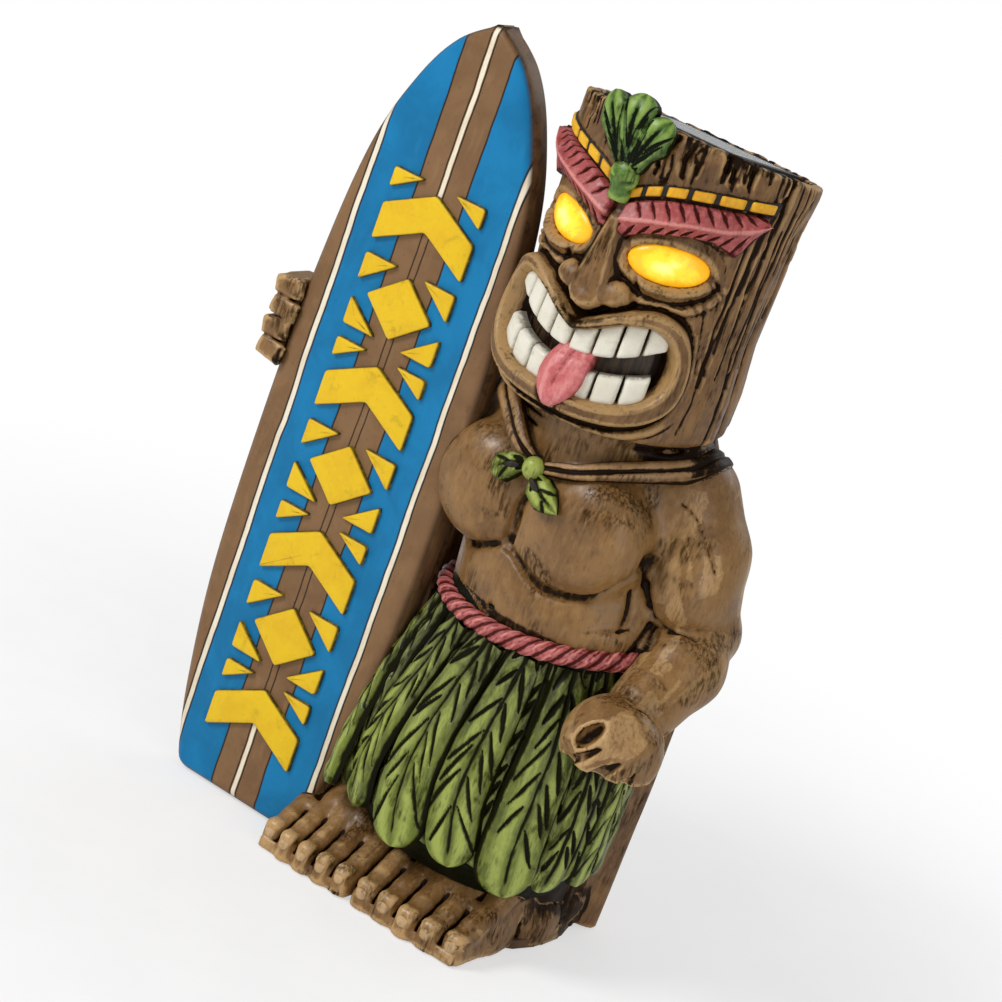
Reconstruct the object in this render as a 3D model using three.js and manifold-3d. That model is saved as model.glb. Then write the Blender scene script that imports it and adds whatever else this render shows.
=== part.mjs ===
// A tiki figure beside a surfboard: a solar garden ornament of painted cast resin.
//
// Millimetres, +Z up, the face looks along -Y, and the origin is under the middle of the ornament.
// The castings are hollow. The head holds the solar panel and the two lit eyes, and a battery
// compartment with a hinged door is let into the back of the cape.

import * as THREE from 'three';
import { mergeVertices } from 'three/addons/utils/BufferGeometryUtils.js';
import Module from 'manifold-3d';

const wasm = await Module();
wasm.setup();

// ---------------------------------------------------------------- driving dimensions

const GAP = 0.3;                     // between two pieces that touch or are glued
const SLIDE_GAP = 0.4;               // around a piece that moves
const TIDY = 0.1;                    // facets flatter than this are merged

const FIGURE_X = 30.9;               // the figure's upright axis
const FIGURE_Y = 1.1;

const BOARD_X = -56.6;               // centre line of the surfboard
const BOARD_FRONT = -34.9;
const BOARD_HEIGHT = 350;
const BOARD_THICKNESS = 15;
const BOARD_HALF_WIDTH = 48.5;
const RAIL_ROUND = 4.5;
const MOTIF_COUNT = 7;
const MOTIF_HALF_WIDTH = 23;
const MOTIF_PITCH = 37.4;
const MOTIF_FIRST = 41;              // height of the lowest motif's centre
const MOTIF_RELIEF = 2.2;

const HEAD_BOTTOM = 224;             // where the log rests on the shoulders
const HEAD_Y = -6;                   // the log's axis, from the figure's axis
const HEAD_RADIUS = 48.6;
const HEAD_HEIGHT = 115;             // on the log's axis, up to the slanted cut
const HEAD_WALL = 6;
const TOP_SLOPE = THREE.MathUtils.degToRad(8.1);
const RIM_WIDTH = 5;
const RIM_HEIGHT = 3.2;

const NECK_RADIUS = 24;
const NECK_WALL = 5.5;
const NECK_RISE = 13;

const EYE_ANGLE = THREE.MathUtils.degToRad(30);
const EYE_Z = 71;                    // above the head's underside
const EYE_HALF_WIDTH = 13.5;
const EYE_HALF_HEIGHT = 7.6;
const LENS_THICKNESS = 4;
const HOLDER_RADIUS = 9.5;
const HOLDER_DEPTH = 9;
const LED_RADIUS = 2.5;
const LED_LENGTH = 8.6;
const LED_BASE = 1.3;                 // thickness of the LED's rim, behind its holder

const PANEL_SIZE = 56;               // side of the solar housing's tray
const PANEL_DEPTH = 9;
const PANEL_FLANGE = 3;
const PANEL_FLANGE_THICKNESS = 1.6;
const PANEL_WALL = 2;
const GASKET_THICKNESS = 0.8;
const CELL_THICKNESS = 1;
const WINDOW_THICKNESS = 1.4;

const CAPE_BACK = 61.6;              // the cape's back, from the figure's axis
const CAVITY_HALF_WIDTH = 44;
const CAVITY_HALF_DEPTH = 39;
const SKIRT_ROOM = 3.5;              // extra half width of the hollow inside the skirt
const CAVITY_X = 6;
const CAVITY_Y = 9;
const BASE_PLATE_THICKNESS = 4;
const BASE_LEDGE = 5;
const DRAIN_RADIUS = 3;

const BOX_X = 4;                     // battery compartment, on the cape's back
const BOX_Z = 98;
const BOX_WALL = 2;
const BOX_FLANGE = 5;
const BOX_FLANGE_THICKNESS = 2.4;
const BOX_POCKET = 6.5;              // the flange's seat, below the cape's back

const DOOR_THICKNESS = 2;
const DOOR_SIDE = 3;                 // from the box's outside to the door's opening
const LEDGE_WIDTH = 3;
const HINGE_RADIUS = 2;
const HINGE_PIN_RADIUS = 0.9;
const HINGE_KNUCKLE = 12;
const HINGE_EAR = 4;
const SCREW_HEAD_THICKNESS = 1.4;
const DOOR_SCREW_RADIUS = 1.5;
const DOOR_SCREW_HEAD = 2.8;
const DOOR_SCREW_LENGTH = 10;
const DOOR_SCREW_SWING = 0.9;        // room for the captive screw as the door swings out
const BOX_SCREW_RADIUS = 1.3;
const BOX_SCREW_HEAD = 2.3;
const BOX_SCREW_LENGTH = 9;

const CELL_RADIUS = 7.1;             // an AA rechargeable cell
const CELL_LENGTH = 49;
const CELL_BUTTON_RADIUS = 2.6;
const CELL_BUTTON_LENGTH = 1.2;
const CELL_ROOM = 1;                 // free space round the cell
const SPRING_LENGTH = 4;
const CONTACT_THICKNESS = 0.5;
const CARD_WIDTH = 12;
const CARD_THICKNESS = 1.6;

const SWITCH_WIDTH = 12;
const SWITCH_HEIGHT = 6;
const SWITCH_DEPTH = 6;
const SWITCH_SKIN = 1;               // of the flange, left over the switch
const SLIDER_WIDTH = 3.2;
const SLIDER_HEIGHT = 3;
const SLIDER_RISE = 2.2;
const SLIDER_TRAVEL = 3;

const LEAD_RADIUS = 1.2;
const LEAD_ROOM = 0.5;               // round a lead in its hole

// ---------------------------------------------------------------- looks

const LOOKS = {
  wood: { color: 0x7a5536, roughness: 0.75, metalness: 0 },
  board: { color: 0x0a86c2, roughness: 0.55, metalness: 0 },
  leaf: { color: 0x4f7d23, roughness: 0.7, metalness: 0 },
  plate: { color: 0x5c4029, roughness: 0.85, metalness: 0 },
  amber: { color: 0xffb400, roughness: 0.3, metalness: 0 },
  blackPlastic: { color: 0x1b1b1d, roughness: 0.5, metalness: 0 },
  whitePlastic: { color: 0xe8e6de, roughness: 0.4, metalness: 0 },
  brownPlastic: { color: 0x5a3c26, roughness: 0.6, metalness: 0 },
  silicon: { color: 0x14203c, roughness: 0.35, metalness: 0.1 },
  clear: { color: 0xdfe9ee, roughness: 0.1, metalness: 0 },
  rubber: { color: 0x2a2a2a, roughness: 0.9, metalness: 0 },
  steel: { color: 0xb9bcc0, roughness: 0.3, metalness: 1 },
  cell: { color: 0x3f8f4a, roughness: 0.4, metalness: 0.1 },
  circuit: { color: 0x1f6b3a, roughness: 0.5, metalness: 0 },
  lead: { color: 0xa02020, roughness: 0.6, metalness: 0 },
};

// ---------------------------------------------------------------- geometry helpers

const vec = (x, y, z) => new THREE.Vector3(x, y, z);

// A manifold solid from a closed three.js geometry.
function solid(geometry) {
  const bare = new THREE.BufferGeometry();
  bare.setAttribute('position', geometry.getAttribute('position'));
  bare.setIndex(geometry.getIndex());
  const merged = mergeVertices(bare, 1e-4);
  const mesh = new wasm.Mesh({
    numProp: 3,
    vertProperties: new Float32Array(merged.getAttribute('position').array),
    triVerts: new Uint32Array(merged.getIndex().array),
  });
  return new wasm.Manifold(mesh);
}

const union = (solids) => solids.reduce((whole, next) => whole.add(next));
const cut = (whole, cutters) => cutters.reduce((rest, next) => rest.subtract(next), whole);
const moved = (body, x, y, z) => body.translate([x, y, z]);
const placed = (body, matrix) => body.transform(matrix.toArray());

function block(width, depth, height, x = 0, y = 0, z = 0) {
  return solid(new THREE.BoxGeometry(width, depth, height).translate(x, y, z));
}

// A cylinder whose axis is 'x', 'y' or 'z', centred on the given point.
function rod(radius, length, axis, x = 0, y = 0, z = 0, sides = 24) {
  const geometry = new THREE.CylinderGeometry(radius, radius, length, sides);
  if (axis === 'x') geometry.rotateZ(-Math.PI / 2);
  if (axis === 'z') geometry.rotateX(Math.PI / 2);
  return solid(geometry.translate(x, y, z));
}

function ellipsoid(rx, ry, rz, x, y, z, sides = 12, rings = 8) {
  const geometry = new THREE.SphereGeometry(1, sides, rings);
  return solid(geometry.rotateX(Math.PI / 2).scale(rx, ry, rz).translate(x, y, z));
}

// Turned about Z: the profile is a list of [radius, height] that starts and ends on the axis.
function turned(profile, sides = 32) {
  const points = profile.map(([radius, height]) => new THREE.Vector2(radius, height));
  return solid(new THREE.LatheGeometry(points, sides).rotateX(Math.PI / 2));
}

// A closed skin over a stack of sections that each hold the same number of points.
function loft(sections) {
  const count = sections[0].length;
  const positions = sections.flat().flatMap((point) => point.toArray());
  const index = [];
  for (let level = 0; level + 1 < sections.length; level += 1) {
    for (let i = 0; i < count; i += 1) {
      const a = level * count + i;
      const b = level * count + ((i + 1) % count);
      index.push(a, b, b + count, a, b + count, a + count);
    }
  }
  for (const [level, turn] of [[0, 1], [sections.length - 1, -1]]) {
    const centre = sections[level].reduce((sum, point) => sum.add(point), vec(0, 0, 0));
    const hub = positions.length / 3;
    positions.push(...centre.divideScalar(count).toArray());
    for (let i = 0; i < count; i += 1) {
      const a = level * count + i;
      const b = level * count + ((i + 1) % count);
      index.push(...(turn > 0 ? [hub, b, a] : [hub, a, b]));
    }
  }
  const geometry = new THREE.BufferGeometry();
  geometry.setAttribute('position', new THREE.Float32BufferAttribute(positions, 3));
  geometry.setIndex(index);
  return solid(geometry);
}

// One level section: an oval that is squarer the higher its power, with optional ridges round it.
function oval(z, x, y, rx, ry, power = 2, sides = 24, ridges = 0, ridgeDepth = 0) {
  const points = [];
  for (let i = 0; i < sides; i += 1) {
    const angle = (2 * Math.PI * i) / sides;
    const c = Math.cos(angle);
    const s = Math.sin(angle);
    const reach = (Math.abs(c) ** power + Math.abs(s) ** power) ** (-1 / power);
    const ridge = 1 + ridgeDepth * Math.cos(ridges * angle);
    points.push(vec(x + rx * reach * ridge * c, y + ry * reach * ridge * s, z));
  }
  return points;
}

// A round-ended limb through the given points, with a radius at each.
function limb(points, radii, sides = 10) {
  const rings = [];
  const up = vec(0, 0, 1);
  const addRing = (centre, direction, radius) => {
    const spin = new THREE.Quaternion().setFromUnitVectors(up, direction);
    const ring = [];
    for (let i = 0; i < sides; i += 1) {
      const angle = (2 * Math.PI * i) / sides;
      const spoke = vec(radius * Math.cos(angle), radius * Math.sin(angle), 0);
      ring.push(spoke.applyQuaternion(spin).add(centre));
    }
    rings.push(ring);
  };
  const direction = (from, to) => to.clone().sub(from).normalize();
  const last = points.length - 1;
  const start = direction(points[0], points[1]);
  const end = direction(points[last - 1], points[last]);
  addRing(points[0].clone().addScaledVector(start, -0.87 * radii[0]), start, 0.5 * radii[0]);
  points.forEach((point, i) => {
    const along = direction(points[Math.max(i - 1, 0)], points[Math.min(i + 1, last)]);
    addRing(point, along, radii[i]);
  });
  addRing(points[last].clone().addScaledVector(end, 0.87 * radii[last]), end, 0.5 * radii[last]);
  return loft(rings);
}

// A flat outline wrapped on the log's face: u runs round the log, v is the height, and the plate
// spans the depths given from the log's mean radius. Outlines are drawn with short steps.
function wrapped(outline, inner, outer, holes = []) {
  const shape = new THREE.Shape(outline);
  shape.holes = holes.map((hole) => new THREE.Path(hole));
  const options = { depth: outer - inner, bevelEnabled: false };
  const geometry = new THREE.ExtrudeGeometry(shape, options);
  const position = geometry.getAttribute('position');
  for (let i = 0; i < position.count; i += 1) {
    const angle = position.getX(i) / HEAD_RADIUS;
    const radius = HEAD_RADIUS + inner + position.getZ(i);
    position.setXYZ(i, radius * Math.sin(angle), -radius * Math.cos(angle), position.getY(i));
  }
  return solid(geometry);
}

const flat = (x, y) => new THREE.Vector2(x, y);

function flatOval(u, v, ru, rv, sides = 20) {
  const turn = (i) => (2 * Math.PI * i) / sides;
  return Array.from({ length: sides }, (_, i) => flat(
    u + ru * Math.cos(turn(i)),
    v + rv * Math.sin(turn(i)),
  ));
}

// A band between two heights that follows a function of u.
function flatBand(from, to, lower, upper, steps = 10) {
  const at = (i) => from + ((to - from) * i) / steps;
  const along = Array.from({ length: steps + 1 }, (_, i) => at(i));
  const bottom = along.map((u) => flat(u, lower(u)));
  const top = along.map((u) => flat(u, upper(u))).reverse();
  return bottom.concat(top);
}

function node(name, body, look) {
  const mesh = body.simplify(TIDY).getMesh();
  const geometry = new THREE.BufferGeometry();
  geometry.setAttribute('position', new THREE.BufferAttribute(mesh.vertProperties, 3));
  geometry.setIndex(new THREE.BufferAttribute(mesh.triVerts, 1));
  geometry.computeVertexNormals();
  const made = new THREE.Mesh(geometry, new THREE.MeshStandardMaterial(LOOKS[look]));
  made.name = name;
  return made;
}

// ---------------------------------------------------------------- shared seats

// The log's slanted top: its origin is on the log's axis and its Z is square to the cut.
const topSeat = new THREE.Matrix4()
  .makeRotationX(-TOP_SLOPE)
  .setPosition(0, 0, HEAD_HEIGHT - RIM_HEIGHT);

// An eye's seat: Y points out of the log, and the origin is on its mean radius.
function eyeSeat(side) {
  const turn = side * EYE_ANGLE;
  const out = vec(Math.sin(turn), -Math.cos(turn), 0);
  const across = vec(0, 0, 1);
  return new THREE.Matrix4()
    .makeBasis(new THREE.Vector3().crossVectors(out, across), out, across)
    .setPosition(out.clone().multiplyScalar(HEAD_RADIUS).add(vec(0, 0, EYE_Z)));
}

// How far the curved lens dips behind its middle at the holder's rim.
const lensInside = HEAD_RADIUS - LENS_THICKNESS;
const lensDip = lensInside - Math.sqrt(lensInside ** 2 - HOLDER_RADIUS ** 2);
const holderFront = -LENS_THICKNESS - lensDip - GAP;
const holderBack = holderFront - HOLDER_DEPTH;

// The battery compartment's frame is the flange's seat: Y points out of the cape's back.
// The bay is sized by the cell and the circuit board, the door by the bay, and the box by the door.
const boxSeatY = CAPE_BACK - BOX_POCKET;
const boxFace = GAP + BOX_FLANGE_THICKNESS;
const bayWidth = 2 * CELL_RADIUS + CARD_WIDTH + 3 * CELL_ROOM;
const bayHeight = CELL_LENGTH + CELL_BUTTON_LENGTH + SPRING_LENGTH + CONTACT_THICKNESS + 4 * GAP;
const doorWidth = bayWidth + 2 * LEDGE_WIDTH;
const doorHeight = bayHeight + 2 * LEDGE_WIDTH;
const switchRoom = SWITCH_HEIGHT + 2 * HINGE_RADIUS + 5;
const boxWidth = doorWidth + 2 * DOOR_SIDE;
const boxHeight = doorHeight + DOOR_SIDE + switchRoom;
const doorTop = boxHeight / 2 - DOOR_SIDE;
const doorBottom = doorTop - doorHeight;
const doorMiddle = (doorTop + doorBottom) / 2;
const doorInside = boxFace - DOOR_THICKNESS;
const ledgeY = doorInside - GASKET_THICKNESS - 2 * GAP;
const bayFloor = ledgeY - 2 * CELL_RADIUS - CELL_ROOM - GAP;
const boxBack = bayFloor - BOX_WALL;
const bayTop = doorTop - LEDGE_WIDTH;
const bayBottom = doorBottom + LEDGE_WIDTH;
const hingeZ = doorBottom - HINGE_RADIUS;
const hingeY = boxFace + 0.7 * HINGE_RADIUS;
const cellX = -bayWidth / 2 + CELL_ROOM + CELL_RADIUS;
const cellY = bayFloor + GAP + CELL_RADIUS;
const cellZ = bayBottom + GAP + SPRING_LENGTH + GAP + CELL_LENGTH / 2;
const cardX = bayWidth / 2 - CELL_ROOM - CARD_WIDTH / 2;
const doorScrewZ = bayTop - DOOR_SCREW_HEAD - 0.5;
const switchZ = -boxHeight / 2 + SWITCH_HEIGHT / 2 + 2;
const leadGateZ = bayBottom + 5;
const LEAD_PITCH = 3.6;

// ---------------------------------------------------------------- surfboard

// Half of the board's width at each height, as shares of the widest and of the whole height.
const BOARD_SIDE = [[0.62, 0], [0.72, 0.022], [0.86, 0.11], [0.98, 0.26], [1, 0.48], [0.955, 0.66],
  [0.84, 0.81], [0.62, 0.905], [0.36, 0.965], [0.02, 1]];

const NOSE_TIP = 0.5;                // half the width left at the very tip

function boardOutline(grow, y) {
  const side = new THREE.SplineCurve(BOARD_SIDE.map(([width, height]) => flat(
    Math.max(width * BOARD_HALF_WIDTH + grow, NOSE_TIP),
    height * (BOARD_HEIGHT + 2 * grow) - grow,
  )));
  const right = side.getPoints(20).map((point) => vec(Math.max(point.x, NOSE_TIP), y, point.y));
  const left = right.map((point) => vec(-point.x, y, point.z)).reverse();
  return right.concat(left);
}

function boardSlab(grow) {
  const front = -grow;
  const back = BOARD_THICKNESS + grow;
  return loft([
    boardOutline(grow - RAIL_ROUND, back),
    boardOutline(grow - 0.3 * RAIL_ROUND, back - 0.3 * RAIL_ROUND),
    boardOutline(grow, back - RAIL_ROUND),
    boardOutline(grow, front + RAIL_ROUND),
    boardOutline(grow - 0.3 * RAIL_ROUND, front + 0.3 * RAIL_ROUND),
    boardOutline(grow - RAIL_ROUND, front),
  ]);
}

// Raised carved motifs: a diamond between four corner triangles, and a barbed spearhead.
function motifOutlines(kind) {
  const w = MOTIF_HALF_WIDTH;
  const h = MOTIF_PITCH / 2 - 3;
  if (kind === 'diamond') {
    const corner = (x, y) => [flat(x * w, y * h), flat(x * w, y * 0.25 * h), flat(x * 0.3 * w, y * h)];
    return [
      [flat(w * 0.72, 0), flat(0, h * 0.86), flat(-w * 0.72, 0), flat(0, -h * 0.86)],
      corner(1, 1), corner(1, -1).reverse(), corner(-1, -1), corner(-1, 1).reverse(),
    ];
  }
  return [
    [flat(-w, -h), flat(0, -0.25 * h), flat(w, -h), flat(w, 0), flat(0, 0.75 * h), flat(-w, 0)],
    [flat(-w, h), flat(-w, 0.45 * h), flat(-0.35 * w, h)],
    [flat(w, h), flat(0.35 * w, h), flat(w, 0.45 * h)],
  ];
}

function motif(index) {
  const kind = index % 2 === 0 ? 'spear' : 'diamond';
  const sunk = 1;
  const options = { depth: MOTIF_RELIEF + sunk, bevelEnabled: false };
  const pieces = motifOutlines(kind).map((outline) => {
    const geometry = new THREE.ExtrudeGeometry(new THREE.Shape(outline), options);
    return solid(geometry.rotateX(Math.PI / 2));
  });
  return moved(union(pieces), 0, sunk, MOTIF_FIRST + index * MOTIF_PITCH);
}

function surfboard() {
  const motifs = Array.from({ length: MOTIF_COUNT }, (_, i) => motif(i));
  return union([boardSlab(0), ...motifs]);
}

// ---------------------------------------------------------------- figure casting

// Places in the figure are from its upright axis and the floor.
const CAPE_CENTRE = 34;

function cape() {
  const reach = (centre) => CAPE_BACK - centre;
  return loft([
    oval(0, 3, CAPE_CENTRE, 53, reach(CAPE_CENTRE), 3.4),
    oval(70, 4, CAPE_CENTRE, 54, reach(CAPE_CENTRE), 3.4),
    oval(145, 4, 32, 55, reach(32), 3.4),
    oval(190, 1, 24, 54, 30, 3),
    oval(216, 0, 10, 50, 33, 2.4),
    oval(HEAD_BOTTOM + 6, 0, 6, 36, 30, 2.2),
  ]);
}

function torso() {
  const body = loft([
    oval(100, 12, -1, 49, 38),
    oval(135, 12, -1, 51, 41),
    oval(150, 10, -1, 51, 42),
    oval(166, 6, 1, 49, 39),
    oval(186, 2, 0, 53, 44),
    oval(206, 0, 2, 51, 42),
    oval(HEAD_BOTTOM - 2, 0, 3, 38, 33),
  ]);
  const chest = [-22, 25].map((x) => ellipsoid(26, 20, 20, x, -25, 187));
  const belly = ellipsoid(36, 24, 24, 9, -20, 150);
  return union([body, ...chest, belly]);
}

function skirt() {
  const ridges = 16;
  const sides = 2 * ridges;
  const strands = loft([
    oval(24, 9, -5, 45, 38, 2.3, sides, ridges, 0),
    oval(36, 10, -5, 53, 50.5, 2.3, sides, ridges, 0.03),
    oval(95, 11.5, -4.5, 50.5, 45.5, 2.2, sides, ridges, 0.03),
    oval(138, 12, -3, 50, 41, 2, sides, ridges, 0.01),
  ]);
  const rope = loft([
    oval(131, 12, -2, 50, 40),
    oval(134, 12, -2, 54, 44),
    oval(141, 11.5, -2, 54, 44),
    oval(144, 11.5, -2, 50, 40),
  ]);
  return union([strands, rope]);
}

const TOE_COUNT = 5;

function foot(x, heelY, halfWidth) {
  const section = (y, width, height) => oval(0, 0, 0, width, height, 2.6, 20)
    .map((point) => vec(x + point.x, y, point.y));
  const sole = loft([
    section(heelY + 10, halfWidth * 0.5, 18),
    section(heelY, halfWidth * 0.75, 34),
    section(heelY - 38, halfWidth * 0.9, 34),
    section(-38, halfWidth * 0.98, 24),
    section(-52, halfWidth * 0.9, 14),
  ]);
  const pitch = (2 * halfWidth) / TOE_COUNT;
  const toes = Array.from({ length: TOE_COUNT }, (_, i) => {
    const across = x + (i - (TOE_COUNT - 1) / 2) * pitch;
    return ellipsoid(pitch * 0.52, 12, 12, across, -50, 10, 8, 5);
  });
  return union([sole, ...toes]);
}

const rightFist = vec(70.4, -42, 116);

function loweredArm() {
  const shoulder = vec(43.5, 3, 204);
  const elbow = vec(66, 7, 157);
  const wrist = vec(70, -24, 130);
  const upper = limb([shoulder, vec(58, 4, 182), elbow], [22, 20, 17]);
  const lower = limb([elbow, vec(71, -8, 142), wrist], [17, 16, 13.5]);
  const fist = ellipsoid(20.8, 19, 19.5, rightFist.x, rightFist.y, rightFist.z);
  const thumb = limb([vec(58, -50, 128), vec(55, -57, 117)], [6.5, 6]);
  return union([upper, lower, fist, thumb]);
}

const FINGER_COUNT = 4;
const GRIP_Z = 201;

// The other arm lies behind the board, and its fingers close round the board's far rail.
function grippingArm() {
  const railX = BOARD_X - BOARD_HALF_WIDTH - FIGURE_X;
  const front = BOARD_FRONT - FIGURE_Y;
  const back = front + BOARD_THICKNESS;
  const palm = vec(railX + 4, back + 12, GRIP_Z);
  const arm = limb([vec(-43.5, 3, 204), vec(-84, 4, 192), palm], [22, 16, 13]);
  const fingers = Array.from({ length: FINGER_COUNT }, (_, i) => {
    const z = GRIP_Z + (i - (FINGER_COUNT - 1) / 2) * 9.6;
    const path = [
      vec(railX - 3, back + 9, z),
      vec(railX - 11, back + 2, z),
      vec(railX - 11.5, front + 6, z),
      vec(railX - 5, front - 2.5, z),
    ];
    return limb(path, [6, 6, 6, 5.2], 8);
  });
  const thumb = limb([vec(railX + 6, back + 8, GRIP_Z + 12), vec(railX + 3, back + 5, 241)], [7, 6], 10);
  return union([arm, thumb, ...fingers]);
}

function bow() {
  const front = -41.5;
  return union([
    ellipsoid(6, 5, 5, 3, front, 202, 10, 7),
    ellipsoid(12, 4.5, 5.5, -9, front, 203, 10, 7),
    ellipsoid(9, 5, 7, 12, front, 197, 10, 7),
  ]);
}

// The hollow inside the figure. Its mouth is underneath, with a ledge for the base plate.
function figureHollow() {
  const width = CAVITY_HALF_WIDTH;
  const depth = CAVITY_HALF_DEPTH;
  const bore = NECK_RADIUS - NECK_WALL;
  const foot = (z) => oval(z, CAVITY_X, CAVITY_Y, width, depth, 2.6);
  return loft([
    foot(-1),
    foot(28),
    oval(50, CAVITY_X + SKIRT_ROOM, CAVITY_Y - 2, width + SKIRT_ROOM, depth + 4, 2.4),
    oval(118, CAVITY_X + SKIRT_ROOM - 1, CAVITY_Y - 2, width + SKIRT_ROOM - 2, depth + 3, 2.4),
    oval(146, CAVITY_X + 1, CAVITY_Y - 2, width, depth, 2.3),
    oval(180, CAVITY_X - 4, CAVITY_Y - 4, width - 1, depth - 3, 2.3),
    oval(202, 0, 0, width - 14, depth - 12, 2),
    oval(212, 0, HEAD_Y, bore, bore, 2),
    oval(HEAD_BOTTOM + NECK_RISE + 1, 0, HEAD_Y, bore, bore, 2),
  ]);
}

function basePlug(shrink, top) {
  const width = CAVITY_HALF_WIDTH + BASE_LEDGE - shrink;
  const depth = CAVITY_HALF_DEPTH + BASE_LEDGE - shrink;
  return loft([0, top].map((z) => oval(z, CAVITY_X, CAVITY_Y, width, depth, 2.6)));
}

function figureCasting() {
  const legs = loft([oval(0, 4, 8, 50, 40, 2.4), oval(60, 8, 4, 50, 40, 2.4)]);
  const whole = union([
    cape(), torso(), skirt(), legs, bow(), loweredArm(), grippingArm(),
    foot(-32, 14, 24), foot(21.5, 18, 28),
  ]);
  const headRoom = turned([
    [0, HEAD_BOTTOM - GAP],
    [HEAD_RADIUS + 4, HEAD_BOTTOM - GAP],
    [HEAD_RADIUS + 4, HEAD_BOTTOM + 40],
    [0, HEAD_BOTTOM + 40],
  ]);
  const spigot = turned([
    [0, HEAD_BOTTOM - 12],
    [NECK_RADIUS - GAP, HEAD_BOTTOM - 12],
    [NECK_RADIUS - GAP, HEAD_BOTTOM + NECK_RISE],
    [0, HEAD_BOTTOM + NECK_RISE],
  ]);
  const ground = block(600, 600, 60, 0, 0, -30);
  const board = moved(boardSlab(GAP), BOARD_X - FIGURE_X, BOARD_FRONT - FIGURE_Y, 0);
  const shaped = cut(whole, [ground, board, moved(headRoom, 0, HEAD_Y, 0)]);
  const seat = block(
    boxWidth + 2 * (BOX_FLANGE + SLIDE_GAP),
    20,
    boxHeight + 2 * (BOX_FLANGE + SLIDE_GAP),
    BOX_X,
    boxSeatY + 10,
    BOX_Z,
  );
  const window = block(boxWidth + 2 * GAP, 40, boxHeight + 2 * GAP, BOX_X, boxSeatY, BOX_Z);
  const pilots = boxScrewPlaces().map(([x, z]) => rod(
    BOX_SCREW_RADIUS + GAP, 2 * BOX_SCREW_LENGTH, 'y', BOX_X + x, boxSeatY, BOX_Z + z, 12,
  ));
  return cut(shaped.add(moved(spigot, 0, HEAD_Y, 0)), [
    figureHollow(),
    basePlug(0, BASE_PLATE_THICKNESS + GAP),
    seat,
    window,
    ...pilots,
  ]);
}

function basePlate() {
  const drains = [-24, 24].map((x) => rod(DRAIN_RADIUS, 20, 'z', CAVITY_X + x, CAVITY_Y, 0, 16));
  return cut(basePlug(GAP, BASE_PLATE_THICKNESS), drains);
}

// ---------------------------------------------------------------- head casting

function almond(grow) {
  const outline = [];
  const steps = 7;
  for (const side of [1, -1]) {
    for (let i = 0; i < steps; i += 1) {
      const t = -side + (2 * side * i) / steps;
      const height = side * (EYE_HALF_HEIGHT + grow) * (1 - t * t) ** 0.8;
      outline.push(flat(-t * (EYE_HALF_WIDTH + grow), height));
    }
  }
  return outline;
}

function eyeOutline(side, grow) {
  const middle = side * EYE_ANGLE * HEAD_RADIUS;
  return almond(grow).map((point) => flat(point.x + middle, point.y + EYE_Z));
}

function log() {
  const r = HEAD_RADIUS;
  const blank = turned([
    [0, 0], [r - 2.6, 0], [r - 0.3, 6], [r, 22], [r - 1.8, 44], [r - 1.2, 65],
    [r - 0.3, 92], [r + 1.8, 108], [r + 1.8, HEAD_HEIGHT + 20], [0, HEAD_HEIGHT + 20],
  ], 32);
  const above = block(300, 300, 60, 0, 0, 30 + RIM_HEIGHT);
  return cut(blank, [placed(above, topSeat)]);
}

// Both jaws curve up at the corners of the mouth.
const SMILE = 0.008;
const MOUTH_Z = 22;
const smile = (outline) => outline.map((point) => flat(point.x, point.y + SMILE * point.x ** 2));

// Nose, brows, bead band, lid rims, lips, teeth and tongue, all cast in one with the log.
function face() {
  const rise = (u) => 86 + 0.2 * Math.abs(u);
  const brows = [-1, 1].map((side) => wrapped(
    flatBand(side * 3, side * 52, (u) => rise(u) - 12, (u) => rise(u)), -4, 5));
  const beads = wrapped(flatBand(-58, 58, (u) => rise(u) + 1, (u) => rise(u) + 7, 14), -4, 1.6);
  const lids = [-1, 1].map((side) => wrapped(eyeOutline(side, 4), -4, 2.6));
  const opening = smile(flatOval(0, MOUTH_Z, 40, 13)).reverse();
  const lips = wrapped(smile(flatOval(0, MOUTH_Z, 47, 20)), -5, 8, [opening]);
  const teeth = [7.5, -8.5].map((z) => wrapped(
    smile(flatBand(-34, 34, () => MOUTH_Z + z - 4.5, () => MOUTH_Z + z + 4.5, 12)), -5, 5));
  const tongue = wrapped(flatOval(6, MOUTH_Z - 6, 9, 14, 18), -5, 9.2);
  const noseAt = (proud, z) => vec(0, -HEAD_RADIUS - proud, z);
  const nose = limb([noseAt(-2.6, 84), noseAt(-0.6, 58), noseAt(-0.1, 50)], [6, 8, 9.5]);
  const chin = wrapped(flatBand(-34, 34, () => 0, () => 8, 12), -5, 3);
  return union([...brows, beads, ...lids, lips, ...teeth, tongue, nose, chin]);
}

function headHollow() {
  const r = HEAD_RADIUS - HEAD_WALL;
  const blank = turned([
    [0, 7], [r - 4, 7], [r - 1, 14], [r - 1.8, 44], [r - 1, HEAD_HEIGHT + 20], [0, HEAD_HEIGHT + 20],
  ], 24);
  const above = block(300, 300, 60, 0, 0, 30 - 4);
  return cut(blank, [placed(above, topSeat)]);
}

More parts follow.
